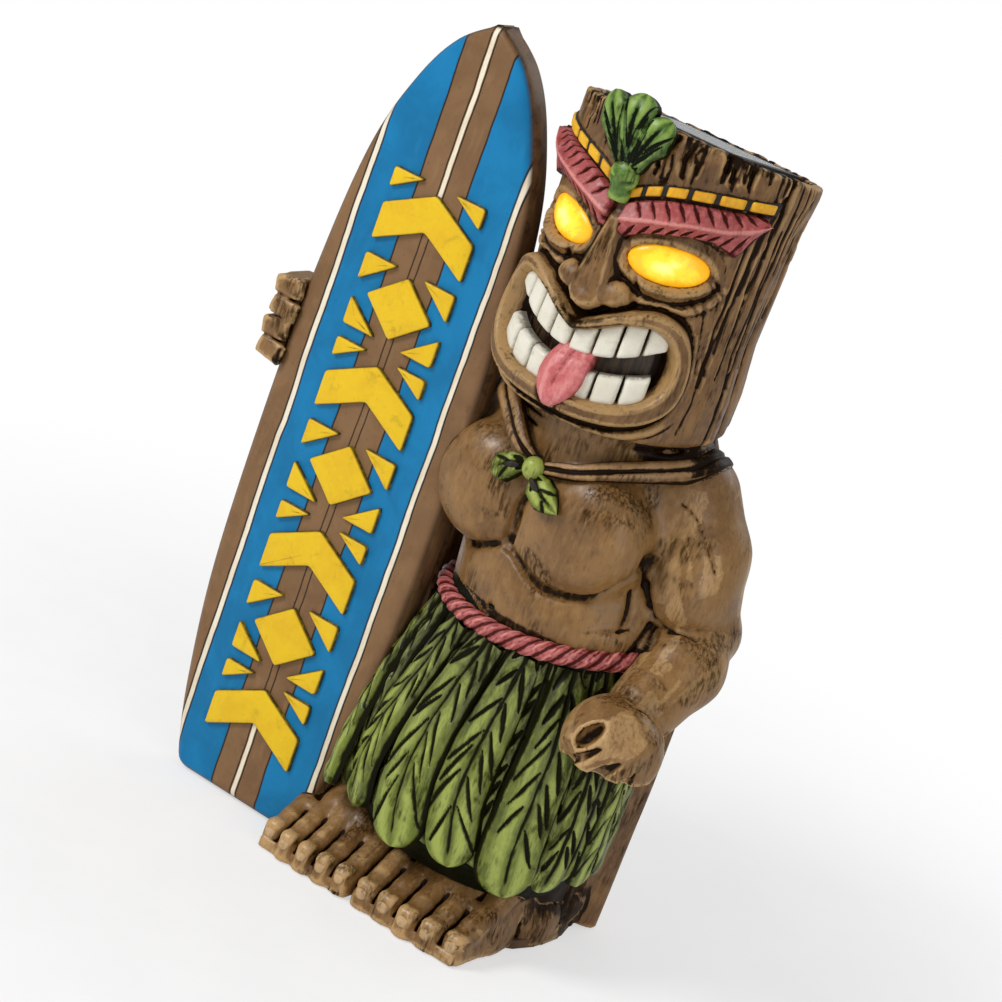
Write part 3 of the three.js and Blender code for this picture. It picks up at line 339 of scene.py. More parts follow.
class Graph:
    """A node tree that is written as nested calls."""

    def __init__(self, name):
        self.material = bpy.data.materials.new(name)
        self.material.use_nodes = True
        self.tree = self.material.node_tree
        self.tree.nodes.clear()
        self.place = self.node("ShaderNodeTexCoord").outputs["Object"]

    def node(self, kind, inputs=(), **settings):
        made = self.tree.nodes.new(kind)
        for key, value in settings.items():
            setattr(made, key, value)
        for key, value in dict(inputs).items():
            if isinstance(value, bpy.types.NodeSocket):
                self.tree.links.new(value, made.inputs[key])
            else:
                made.inputs[key].default_value = value
        return made

    def math(self, operation, a, b=0.0, c=0.0, clamp=False):
        made = self.node("ShaderNodeMath", {0: a, 1: b, 2: c}, operation=operation, use_clamp=clamp)
        return made.outputs[0]

    def noise(self, size_mm, detail=4.0, rough=0.55, distort=0.0, place=None):
        made = self.node(
            "ShaderNodeTexNoise",
            {"Vector": place or self.place, "Scale": 1000.0 / size_mm, "Detail": detail,
             "Roughness": rough, "Distortion": distort},
        )
        return made.outputs[0]

    def stretched(self, x, y, z):
        return self.node("ShaderNodeMapping", {"Vector": self.place, "Scale": (x, y, z)}).outputs[0]

    def remap(self, value, low, high, to_low=0.0, to_high=1.0):
        made = self.node(
            "ShaderNodeMapRange",
            {"Value": value, "From Min": low, "From Max": high, "To Min": to_low, "To Max": to_high},
            interpolation_type="SMOOTHSTEP",
        )
        return made.outputs[0]

    def mix(self, factor, a, b):
        made = self.node("ShaderNodeMix", data_type="RGBA", clamp_factor=True)
        sockets = [s for s in made.inputs if s.type == "RGBA"]
        for socket, value in ((made.inputs[0], factor), (sockets[0], a), (sockets[1], b)):
            if isinstance(value, bpy.types.NodeSocket):
                self.tree.links.new(value, socket)
            else:
                socket.default_value = value
        return next(s for s in made.outputs if s.type == "RGBA")

    def kept(self, label):
        return self.node("ShaderNodeAttribute", attribute_name=label).outputs["Fac"]

    def bump(self, height, distance_mm, strength=1.0, under=None):
        inputs = {"Height": height, "Distance": distance_mm / 1000, "Strength": strength}
        if under is not None:
            inputs["Normal"] = under
        return self.node("ShaderNodeBump", inputs).outputs[0]

    def surface(self, colour, roughness, normal=None, **others):
        inputs = {"Base Color": colour, "Roughness": roughness}
        if normal is not None:
            inputs["Normal"] = normal
        for key, value in others.items():
            inputs[key.replace("_", " ")] = value
        shader = self.node("ShaderNodeBsdfPrincipled", inputs)
        self.node("ShaderNodeOutputMaterial", {"Surface": shader.outputs[0]})
        return self.material


DARK = linear(30, 16, 5)


def painted(name, base, light, dark=DARK, second=None, patch_mm=16, wash=1.0, brush=0.8, gloss=0.5,
            streak=None, fleck=0.5, base_noise=0.35, tone_colour=None, hair=0.3,
            grime=0.75):
    """Hand-painted resin: a base coat, antiquing that stays in creases, and dry-brushed ridges. The wash
    attribute also lays painted shade into the coat, and the ridge attribute lays painted light on some
    facets.
    """
    g = Graph(name)
    place = g.stretched(*streak) if streak else g.place
    patches = g.noise(patch_mm, 4, 0.6, 0.4)
    grain = g.noise(2.6, 5, 0.62, 0.2, place)
    hairs = g.noise(1.3, 3, 0.6, 0.0, g.stretched(1.0, 1.0, 0.16))
    coat = g.mix(g.remap(patches, 0.38, 0.66), base, second or [v * 0.8 for v in base[:3]] + [1])
    if tone_colour:
        coat = g.mix(g.kept("tone"), coat, tone_colour)
    coat = g.mix(g.remap(grain, 0.42, 0.72, 0, base_noise), coat, light)
    # crease: the wash attribute, which is antiquing in creases together with painted shade
    crease = g.math("ADD", g.kept("wash"), g.remap(grain, 0.3, 0.75, 0.16, -0.2))
    stain = g.remap(g.noise(9, 5, 0.72, 0.8, place), 0.54, 0.76, 0, 0.5 * wash)
    swept = g.math("MULTIPLY", g.remap(g.noise(26, 3, 0.6, 0.6), 0.5, 0.64), g.remap(hairs, 0.36, 0.62))
    stain = g.math("MAXIMUM", stain, g.math("MULTIPLY", swept, grime * wash))
    speck = g.remap(g.noise(1.5, 2, 0.5), 0.66, 0.74, 0, fleck)
    dirt_and_shade = g.math("MAXIMUM", g.remap(crease, 0.18, 0.78, 0, wash), g.math("MAXIMUM", stain, speck))
    # proud: dry-brushing on ridges, and painted light on facets where the ridge attribute carries it
    proud = g.math("ADD", g.kept("ridge"), g.remap(hairs, 0.3, 0.7, -0.16, 0.12))
    coat = g.mix(g.remap(proud, 0.15, 0.75, 0, brush), coat, light)
    coat = g.mix(g.remap(hairs, 0.54, 0.74, 0, hair), coat, dark)
    dirt_and_shade = g.math("MULTIPLY", dirt_and_shade, 1.0, clamp=True)
    coat = g.mix(dirt_and_shade, coat, dark)
    rough = g.remap(grain, 0.3, 0.7, gloss - 0.08, gloss + 0.14)
    tooth = g.bump(grain, 0.22, 0.6, g.bump(g.noise(5.5, 3, 0.5, 0.0, place), 0.5, 0.5))
    dull = g.remap(dirt_and_shade, 0.1, 0.8, 0.42, 0.08)
    return g.surface(coat, rough, tooth, Specular_IOR_Level=dull)


SKIN = painted("resin_skin", linear(141, 104, 58), linear(196, 158, 106), second=linear(114, 80, 41),
               streak=(1.0, 1.0, 0.4), wash=1.0, brush=0.85, gloss=0.34, patch_mm=30, base_noise=0.16,
               fleck=0.3)
CAPE = painted("resin_cape", linear(124, 88, 48), linear(178, 140, 92), second=linear(98, 66, 34),
               streak=(1.0, 1.0, 0.3), wash=1.0, brush=0.75, gloss=0.4)
TUFT = painted("paint_leaf_tuft", linear(70, 104, 30), linear(136, 166, 72), dark=linear(14, 20, 5),
               second=linear(48, 76, 20), wash=1.0, brush=0.9, fleck=0.1, gloss=0.34, hair=0.5,
               tone_colour=linear(44, 62, 24))
NAIL = painted("resin_nail", linear(156, 120, 76), linear(208, 174, 130), second=linear(140, 104, 62),
               wash=0.9, brush=0.8, fleck=0.0, gloss=0.36)
CRIMSON = painted("paint_crimson", linear(170, 76, 74), linear(226, 146, 138), dark=linear(52, 16, 10),
                  second=linear(152, 60, 60), wash=0.9, brush=0.8, fleck=0.2, gloss=0.4, grime=0.3)
PINK = painted("paint_tongue", linear(200, 104, 104), linear(236, 164, 158), dark=linear(96, 34, 30),
               second=linear(184, 84, 88), wash=0.8, brush=0.7, fleck=0.0, gloss=0.3, hair=0.0, grime=0.0)
LEAF = painted("paint_leaf", linear(106, 119, 27), linear(166, 178, 84), dark=linear(22, 22, 5),
               second=linear(76, 88, 18), wash=1.0, brush=0.9, patch_mm=22, fleck=0.2, gloss=0.34,
               streak=(1.0, 1.0, 0.3), tone_colour=linear(78, 80, 44), base_noise=0.3, hair=0.5)
# darker green for the skirt's lining: painted shade under and between the leaves
LEAF_DARK = painted("paint_leaf_shaded", linear(54, 78, 26), linear(106, 136, 48), dark=linear(14, 18, 6),
                    second=linear(40, 58, 20), wash=1.0, brush=0.8, gloss=0.42)
IVORY = painted("paint_ivory", linear(232, 228, 212), linear(246, 243, 232), dark=linear(60, 46, 30),
                second=linear(222, 216, 198), wash=0.8, brush=0.3, fleck=0.0, gloss=0.35, base_noise=0.2,
                hair=0.0, grime=0.0)
AMBER = painted("paint_amber", linear(240, 180, 20), linear(250, 206, 60), dark=linear(24, 14, 2),
                second=linear(226, 158, 14), wash=0.95, brush=0.4, fleck=0.3, gloss=0.4, hair=0.0,
                grime=0.15)
BLACK = painted("paint_black", linear(22, 15, 8), linear(52, 38, 24), dark=linear(10, 7, 4),
                second=linear(16, 11, 6), wash=0.6, brush=0.3, gloss=0.5)


def lit_eye():
    """The amber lens with a painted glow: its colour is brightest in its middle and it emits a little light,
    though no lamp lies behind it.
    """
    g = Graph("lens_lit")
    middle = g.kept("tone")
    cloud = g.noise(7, 4, 0.6, 0.6)
    painted_glow = g.math("ADD", middle, g.remap(cloud, 0.3, 0.7, -0.22, 0.22))
    colour = g.mix(g.remap(painted_glow, 0.1, 0.55), linear(250, 176, 20), linear(253, 208, 44))
    colour = g.mix(g.remap(painted_glow, 0.55, 1.05), colour, linear(255, 236, 128))
    return g.surface(colour, g.remap(cloud, 0.3, 0.7, 0.28, 0.4),
                     Emission_Color=colour, Emission_Strength=0.45)


LENS = lit_eye()


def plain(name, colour, second, roughness, size_mm=3.0, metallic=0.0, bump_mm=0.05, **constants):
    """Moulded plastic, rubber or metal with a fine tooth and slight unevenness."""
    g = Graph(name)
    fine = g.noise(size_mm, 5, 0.6)
    wide = g.noise(size_mm * 6, 3, 0.5)
    tint = g.mix(g.remap(wide, 0.35, 0.65), colour, second)
    rough = g.remap(fine, 0.3, 0.7, roughness - 0.06, roughness + 0.08)
    return g.surface(tint, rough, g.bump(fine, bump_mm, 0.8), Metallic=metallic, **constants)


BLACK_PLASTIC = plain("plastic_black", linear(26, 26, 28), linear(34, 34, 36), 0.45)
BROWN_PLASTIC = plain("plastic_brown", linear(92, 62, 38), linear(82, 54, 33), 0.55, 1.2)
RUBBER = plain("rubber_black", linear(30, 30, 31), linear(40, 40, 40), 0.8, 1.0)
STEEL = plain("steel_zinc", linear(186, 188, 190), linear(170, 173, 176), 0.3, 1.5, 1.0, 0.02)
WHITE_PLASTIC = plain("plastic_white", linear(230, 228, 220), linear(222, 219, 210), 0.4)
GREEN_CARD = plain("circuit_green", linear(30, 96, 54), linear(24, 82, 46), 0.45, 1.5)
CELL_WRAP = plain("cell_wrap", linear(62, 140, 74), linear(54, 126, 66), 0.35)
LEAD_RED = plain("lead_red", linear(160, 34, 32), linear(146, 28, 28), 0.5)
LED_AMBER = plain("led_amber", linear(250, 190, 60), linear(244, 176, 44), 0.25)
BASE_BROWN = plain("base_brown", linear(96, 68, 43), linear(84, 58, 36), 0.8, 1.5, 0.0, 0.15)


def solar_face():
    """Polycrystalline silicon: blue flakes, thin silver lines and two wider bars."""
    g = Graph("silicon_cell")
    flakes = g.node("ShaderNodeTexVoronoi", {"Vector": g.place, "Scale": 190.0}).outputs["Color"]
    shade = g.node("ShaderNodeSeparateColor", {"Color": flakes}).outputs[0]
    colour = g.mix(shade, linear(16, 26, 62), linear(34, 52, 108))
    split = g.node("ShaderNodeSeparateXYZ", {"Vector": g.place})

    def lines(value, pitch, width, shift=0.0):
        phase = g.math("FRACT", g.math("ADD", g.math("MULTIPLY", value, 1000.0 / pitch), 40.0 + shift))
        off = g.math("ABSOLUTE", g.math("SUBTRACT", phase, 0.5))
        return g.math("LESS_THAN", off, width / pitch / 2)

    fine = lines(split.outputs["Y"], 2.2, 0.16)
    bars = lines(split.outputs["X"], 17.4, 1.1, 0.224)
    metal = g.math("MAXIMUM", fine, bars)
    colour = g.mix(metal, colour, linear(168, 172, 178))
    return g.surface(colour, g.remap(shade, 0, 1, 0.22, 0.34), None, Metallic=0.0)


def clear_window():
    g = Graph("window_clear")
    rough = g.remap(g.noise(9, 3, 0.5), 0.3, 0.7, 0.05, 0.09)
    return g.surface(linear(238, 242, 246), rough, None, Transmission_Weight=1.0, IOR=1.45)


SOLAR, WINDOW = solar_face(), clear_window()
# the CAD nodes that keep their own shape, and what each is made of
KEEP = {
    "base_plate": BASE_BROWN, "led_left": LED_AMBER, "led_right": LED_AMBER,
    "led_holder_left": WHITE_PLASTIC, "led_holder_right": WHITE_PLASTIC,
    "solar_housing": BLACK_PLASTIC, "solar_gasket": RUBBER, "solar_cell": SOLAR, "solar_window": WINDOW,
    "battery_box": BROWN_PLASTIC, "battery_door": BROWN_PLASTIC, "door_gasket": RUBBER,
    "door_hinge_pin": STEEL, "door_screw": STEEL, "box_screw_1": STEEL, "box_screw_2": STEEL,
    "box_screw_3": STEEL, "box_screw_4": STEEL, "battery_cell": CELL_WRAP, "contact_spring": STEEL,
    "contact_plate": STEEL, "circuit_board": GREEN_CARD, "switch_body": BLACK_PLASTIC,
    "switch_slider": WHITE_PLASTIC, "solar_lead": LEAD_RED, "led_lead_left": LEAD_RED,
    "led_lead_right": LEAD_RED,
}
for node_name, material in KEEP.items():
    node_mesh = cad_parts[node_name].data
    node_mesh.materials.clear()
    node_mesh.materials.append(material)


# ------------------------------------------------------------------ camera, light and floor


def set_camera():
    turn, dip, roll = (math.radians(v) for v in (CAMERA_AZIMUTH, CAMERA_DIP, CAMERA_ROLL))
    ahead = np.array([-math.sin(turn) * math.cos(dip), math.cos(turn) * math.cos(dip), -math.sin(dip)])
    right = np.array([math.cos(turn), math.sin(turn), 0.0])
    up = np.cross(right, ahead)
    across = math.cos(roll) * right + math.sin(roll) * up
    above = -math.sin(roll) * right + math.cos(roll) * up
    eye = CAMERA_AIM - CAMERA_DISTANCE * ahead
    data = bpy.data.cameras.new("camera")
    data.lens, data.sensor_width = CAMERA_LENS, 36
    data.clip_end = 20
    camera = bpy.data.objects.new("camera", data)
    bpy.context.scene.collection.objects.link(camera)
    pose = Matrix.Identity(4)
    for i, column in enumerate((across, above, -ahead, eye / 1000)):
        for j in range(3):
            pose[j][i] = column[j]
    camera.matrix_world = pose
    bpy.context.scene.camera = camera


def set_light():
    scene = bpy.context.scene
    scene.view_settings.view_transform = "Standard"
    for name, energy, size, place in LIGHTS:
        data = bpy.data.lights.new(name, "AREA")
        data.energy, data.size = energy, size
        lamp = bpy.data.objects.new(name, data)
        lamp.location = place
        lamp.rotation_euler = (Vector(LIGHT_AIM) - Vector(place)).to_track_quat("-Z", "Y").to_euler()
        scene.collection.objects.link(lamp)
    world = bpy.data.worlds.new("studio")
    scene.world = world
    world.use_nodes = True
    tree = world.node_tree
    tree.nodes.clear()
    path = tree.nodes.new("ShaderNodeLightPath")
    soft = tree.nodes.new("ShaderNodeBackground")
    soft.inputs[0].default_value = (1, 1, 1, 1)
    soft.inputs[1].default_value = SKY_LEVEL
    white = tree.nodes.new("ShaderNodeBackground")
    white.inputs[0].default_value = (1, 1, 1, 1)
    white.inputs[1].default_value = 1.0
    seen = tree.nodes.new("ShaderNodeMath")
    seen.operation = "MAXIMUM"
    tree.links.new(path.outputs["Is Camera Ray"], seen.inputs[0])
    tree.links.new(path.outputs["Is Transmission Ray"], seen.inputs[1])
    blend = tree.nodes.new("ShaderNodeMixShader")
    out = tree.nodes.new("ShaderNodeOutputWorld")
    tree.links.new(seen.outputs[0], blend.inputs[0])
    tree.links.new(soft.outputs[0], blend.inputs[1])
    tree.links.new(white.outputs[0], blend.inputs[2])
    tree.links.new(blend.outputs[0], out.inputs[0])


def set_floor():
    """A round pale floor that is seen as white, and keeps the ornament's soft shadow."""
    count, rings = 64, (0.0, 0.4, 1.0, 2.2)
    verts = [(0, 0, 0)]
    for radius in rings[1:]:
        verts += [(radius * math.cos(2 * math.pi * i / count), radius * math.sin(2 * math.pi * i / count), 0)
                  for i in range(count)]
    faces = [(0, 1 + i, 1 + (i + 1) % count) for i in range(count)]
    for ring in range(len(rings) - 2):
        first = 1 + ring * count
        faces += [(first + i, first + count + i, first + count + (i + 1) % count, first + (i + 1) % count)
                  for i in range(count)]
    mesh = bpy.data.meshes.new("floor")
    mesh.from_pydata(verts, [], faces)
    floor = bpy.data.objects.new("floor", mesh)
    floor.location = (0, 0, -0.0005)
    bpy.context.scene.collection.objects.link(floor)
    g = Graph("floor_white")
    speckle = g.noise(40, 3, 0.5)
    g.surface(g.mix(g.remap(speckle, 0.3, 0.7), linear(250, 250, 250), linear(255, 255, 255)), 0.9)
    lit = next(n for n in g.tree.nodes if n.type == "BSDF_PRINCIPLED").outputs[0]
    glow = g.node("ShaderNodeEmission", {"Color": linear(255, 255, 255), "Strength": 1.0}).outputs[0]
    away = g.node("ShaderNodeVectorMath", {0: g.place}, operation="LENGTH").outputs["Value"]
    seen = g.math("MULTIPLY", g.node("ShaderNodeLightPath").outputs["Is Camera Ray"],
                  g.remap(away, 0.16, 0.5, 0.55, 1.0))
    both = g.node("ShaderNodeMixShader", {0: seen, 1: lit, 2: glow}).outputs[0]
    g.tree.links.new(both, next(n for n in g.tree.nodes if n.type == "OUTPUT_MATERIAL").inputs[0])
    mesh.materials.append(g.material)


set_camera()
set_light()
set_floor()


# ------------------------------------------------------------------ shared curves


def spline(points, steps):
    """A smooth curve through the points, with the given steps in each span."""
    p = np.asarray(points, float)
    out = []
    for i in range(len(p) - 1):
        a, b, c, d = p[max(i - 1, 0)], p[i], p[i + 1], p[min(i + 2, len(p) - 1)]
        for k in range(steps):
            t = k / steps
            out.append(0.5 * (2 * b + (c - a) * t + (2 * a - 5 * b + 4 * c - d) * t * t
                              + (3 * b - a - 3 * c + d) * t ** 3))
    out.append(p[-1])
    return np.array(out)


# ------------------------------------------------------------------ surfboard

BOARD_SIDE = [(0.62, 0), (0.72, 0.022), (0.86, 0.11), (0.98, 0.26), (1, 0.48), (0.955, 0.66), (0.84, 0.81),
              (0.62, 0.905), (0.36, 0.965), (0.02, 1)]
RAIL = 4.5
MOTIFS, MOTIF_W, MOTIF_PITCH, MOTIF_FIRST, MOTIF_RELIEF = 7, 23.0, 37.4, 41.0, 2.2


def board_paint():
    """Two brown centre stripes with a white stringer on blue, white pinstripes and brown crescents."""
    g = Graph("paint_board")
    split = g.node("ShaderNodeSeparateXYZ", {"Vector": g.place})
    wobble = g.remap(g.noise(30, 3, 0.5), 0.3, 0.7, -0.35, 0.35)
    x = g.math("ADD", g.math("MULTIPLY_ADD", split.outputs["X"], 1000.0, -BOARD_X), wobble)
    z = g.math("MULTIPLY", split.outputs["Z"], 1000.0)
    off = g.math("ABSOLUTE", x)

    def between(low, high, soft=0.22):
        rise = g.remap(off, low - soft, low + soft)
        fall = g.remap(off, high - soft, high + soft, 1.0, 0.0)
        return g.math("MULTIPLY", rise, fall)

    brush = g.noise(4, 5, 0.6, 0.3, g.stretched(1, 1, 0.25))
    cloud = g.noise(26, 4, 0.6, 0.5)
    blue = g.mix(g.remap(cloud, 0.35, 0.65), linear(0, 108, 158), linear(6, 122, 176))
    blue = g.mix(g.remap(brush, 0.5, 0.8, 0, 0.35), blue, linear(24, 134, 184))
    scuff = g.remap(g.noise(1.8, 3, 0.6), 0.68, 0.76, 0, 0.4)
    blue = g.mix(scuff, blue, linear(4, 84, 130))
    brown = g.mix(g.remap(cloud, 0.35, 0.65), linear(132, 99, 66), linear(118, 87, 57))
    brown = g.mix(g.remap(brush, 0.5, 0.8, 0, 0.5), brown, linear(150, 116, 80))
    brown = g.mix(g.remap(g.noise(1.6, 3, 0.6), 0.62, 0.74, 0, 0.5), brown, linear(84, 58, 36))
    cream = g.mix(g.remap(brush, 0.4, 0.7), linear(240, 230, 206), linear(226, 210, 180))
    dark = linear(40, 24, 12)
    end = g.math("MAXIMUM", g.math("LESS_THAN", z, 44.0), g.math("GREATER_THAN", z, 276.0))
    stringer = g.math("MULTIPLY", g.remap(off, 0.8, 1.15, 1.0, 0.0), end)
    coat = g.mix(g.remap(off, 11.8, 12.2), brown, blue)
    coat = g.mix(g.remap(off, 36.6, 37.0), coat, brown)
    coat = g.mix(between(1.3, 1.95), coat, dark)
    coat = g.mix(between(11.7, 12.5), coat, dark)
    coat = g.mix(between(33.6, 34.3), coat, dark)
    coat = g.mix(between(36.5, 37.3), coat, dark)
    coat = g.mix(between(34.4, 36.5), coat, cream)
    coat = g.mix(stringer, coat, cream)
    side = g.mix(g.remap(brush, 0.35, 0.7), linear(96, 70, 45), linear(128, 98, 66))
    side = g.mix(g.remap(g.noise(7, 5, 0.7, 0.6), 0.5, 0.7, 0, 0.7), side, dark)
    coat = g.mix(g.kept("tone"), coat, side)
    coat = g.mix(g.kept("wash"), coat, dark)
    rough = g.remap(brush, 0.3, 0.7, 0.38, 0.52)
    return g.surface(coat, rough, g.bump(brush, 0.12, 0.6, g.bump(g.noise(12, 3, 0.5), 0.4, 0.5)),
                     Specular_IOR_Level=0.25)


def surfboard():
    side = spline(BOARD_SIDE, 26)
    height = side[:, 1] * BOARD_H
    half = np.maximum(side[:, 0] * BOARD_W, 0.5)
    rounds = 6
    front = BOARD_FRONT
    rows, wash, tone = [], [], []
    extra = [0.0, 0.4, 1.2, 2.4, 3.6]
    heights = np.unique(np.round(np.concatenate([height, extra, BOARD_H - np.array(extra)]), 3))
    for z in heights:
        w = np.interp(z, height, half)
        near = min(z, BOARD_H - z)
        sink = RAIL - math.sqrt(max(RAIL ** 2 - max(RAIL - near, 0) ** 2, 0)) if near < RAIL else 0.0
        sink = min(sink, 3.6)
        r = min(RAIL, w * 0.8)
        flat = np.linspace(-(w - r), w - r, 40)
        turn = np.linspace(0, math.pi / 2, rounds + 1)[1:]
        right = [(w - r + r * math.sin(t), front + r - r * math.cos(t) + sink * math.cos(t)) for t in turn]
        back_y = front + BOARD_T
        back = [(w - r + r * math.cos(t), back_y - r + r * math.sin(t) - sink * math.sin(t)) for t in turn]
        ring = [(x, front + sink) for x in flat] + right + back
        ring += [(x, back_y - sink) for x in np.linspace(w - r, -(w - r), 12)[1:-1]]
        ring += [(-x, y) for x, y in reversed(back)] + [(-x, y) for x, y in reversed(right)]
        rows.append([(x + BOARD_X, y, z) for x, y in ring])
        depth = np.array([y - front for _, y in ring])
        tone.append(step_up(depth, 1.2, 2.4))
        wash.append(0.85 * bump_at(depth - 1.8, 0.5))
    rows = np.array(rows)
    count = rows.shape[1]
    verts = rows.reshape(-1, 3)
    faces = grid_faces(len(rows), count, True)
    caps = []
    for first, flip in ((0, False), ((len(rows) - 1) * count, True)):
        loop = [first + i for i in range(count)]
        for i in range(count // 2 - 1):
            quad = [loop[i], loop[i + 1], loop[count - 2 - i], loop[count - 1 - i]]
            caps.append(quad if flip else quad[::-1])
    faces = np.concatenate([faces, np.array(caps)])
    piece("surfboard", verts, faces, board_paint(), np.concatenate(wash), None, np.concatenate(tone),
          slot="painted_resin_board", replaces=["surfboard_casting"])


def motif_outlines(kind):
    w, h = MOTIF_W, MOTIF_PITCH / 2 - 3
    if kind == "diamond":
        corners = [[(a * w, b * h), (a * w, b * 0.25 * h), (a * 0.3 * w, b * h)]
                   for a in (1, -1) for b in (1, -1)]
        return [[(w * 0.72, 0), (0, h * 0.86), (-w * 0.72, 0), (0, -h * 0.86)]] + corners
    return [[(-w, -h), (0, -0.25 * h), (w, -h), (w, 0), (0, 0.75 * h), (-w, 0)],
            [(-w, h), (-w, 0.45 * h), (-0.35 * w, h)], [(w, h), (0.35 * w, h), (w, 0.45 * h)]]


def motif_pad(outline):
    """One flat-topped pad: a dark wall and a yellow face, with hand-cut edges."""
    p = np.array(outline, float)
    area = 0.5 * np.sum(p[:, 0] * np.roll(p[:, 1], -1) - p[:, 1] * np.roll(p[:, 0], -1))
    if area < 0:
        p = p[::-1]
    dense = []
    for a, b in zip(p, np.roll(p, -1, 0)):
        steps = max(3, int(np.linalg.norm(b - a) / 0.9))
        dense += [a + (b - a) * k / steps for k in range(steps)]
    dense = np.array(dense)
    for _ in range(2):
        dense = 0.5 * dense + 0.25 * (np.roll(dense, 1, 0) + np.roll(dense, -1, 0))
    dense += 0.12 * np.cumsum(RNG.normal(0, 1, dense.shape), 0) * 0.12
    centre = p.mean(0) if len(p) != 6 else np.array([0.0, 0.05 * MOTIF_PITCH])
    tangent = np.roll(dense, -1, 0) - np.roll(dense, 1, 0)
    normal = np.stack([tangent[:, 1], -tangent[:, 0]], 1)
    normal /= np.linalg.norm(normal, axis=1)[:, None] + 1e-9
    rings = [(0.35, -1.0, 1.0), (0.3, 0.15, 1.0), (0.1, MOTIF_RELIEF - 0.7, 0.85),
             (-0.12, MOTIF_RELIEF - 0.22, 0.25), (-0.5, MOTIF_RELIEF - 0.04, 0.0)]
    verts, tone = [], []
    for out, rise, paint in rings:
        verts.append(np.column_stack([dense + normal * out, np.full(len(dense), rise)]))
        tone += [paint] * len(dense)
    inner = dense - normal * 0.5
    for share in (0.66, 0.33):
        verts.append(np.column_stack([centre + (inner - centre) * share, np.full(len(dense), MOTIF_RELIEF)]))
        tone += [0.0] * len(dense)
    verts.append(np.array([[centre[0], centre[1], MOTIF_RELIEF]]))
    tone.append(0.0)
    count = len(dense)
    quads = grid_faces(len(rings) + 2, count, True)
    hub, last = (len(rings) + 2) * count, (len(rings) + 1) * count
    fan = [(last + i, last + (i + 1) % count, hub, hub) for i in range(count)]
    return np.concatenate(verts), quads, np.array([f[:3] for f in fan]), np.array(tone)


def motifs():
    yellow = painted("paint_yellow", linear(232, 190, 0), linear(240, 204, 22), dark=linear(30, 22, 6),
                     second=linear(226, 180, 0), wash=0.7, brush=0.2, fleck=0.12, gloss=0.42,
                     base_noise=0.25, hair=0.0, grime=0.0, tone_colour=linear(26, 22, 14))
    for index in range(MOTIFS):
        verts, faces, tone, start = [], [], [], 0
        for outline in motif_outlines("spear" if index % 2 == 0 else "diamond"):
            points, quads, fan, paint = motif_pad(outline)
            split = np.concatenate([quads[:, [0, 1, 2]], quads[:, [0, 2, 3]], fan])
            verts.append(points)
            faces.append(split + start)
            tone.append(paint)
            start += len(points)
        flat = np.concatenate(verts)
        z = MOTIF_FIRST + index * MOTIF_PITCH
        placed = np.column_stack([flat[:, 0] + BOARD_X, BOARD_FRONT - flat[:, 2], flat[:, 1] + z])
        piece(f"board_motif_{index + 1}", placed, np.concatenate(faces), yellow,
              tone=np.concatenate(tone), slot="painted_resin_board")


# ------------------------------------------------------------------ head: relief on the log


def bottom_of_band(u):
    """Height of the bead band's lower edge, which dips over the nose."""
    return 88.5 + 13.8 * (1 - np.exp(-np.abs(u) / 18.5))


def on_log(u, v, height):
    """Places from round-the-log distance, height above the log's underside and relief."""
    angle = np.asarray(u) / HEAD_R
    radius = np.interp(v, LOG_Z, LOG_R) + height
    return np.stack([radius * np.sin(angle), -radius * np.cos(angle), np.asarray(v) + 0 * radius], -1) + HEAD


LOG_Z = [-6, 0, 6, 22, 44, 65, 92, 108, 130]
LOG_R = [45, 46.4, 48.3, 48.6, 46.9, 47.5, 48.4, 50.2, 50.6]
CUT_SLOPE, CUT_RISE, CUT_HEIGHT = 0.1409, 0.990, 115         # the log's slanted top
RECESS_R, RECESS_DEPTH = 45.2, 3.2                           # the shallow recess inside its rim
WELL_HALF, WELL_DEPTH = 28.6, 14                             # the panel's square seat
EYE_U, EYE_V, EYE_HALF_WIDTH, EYE_HALF_HEIGHT, EYE_TILT = 26.0, 71.6, 17.0, 7.5, 13.6
EYE_POINTS = 28
SIDE_GROOVES, BAND_GROOVES = 230, 70                         # the weathered grain's tries and strokes


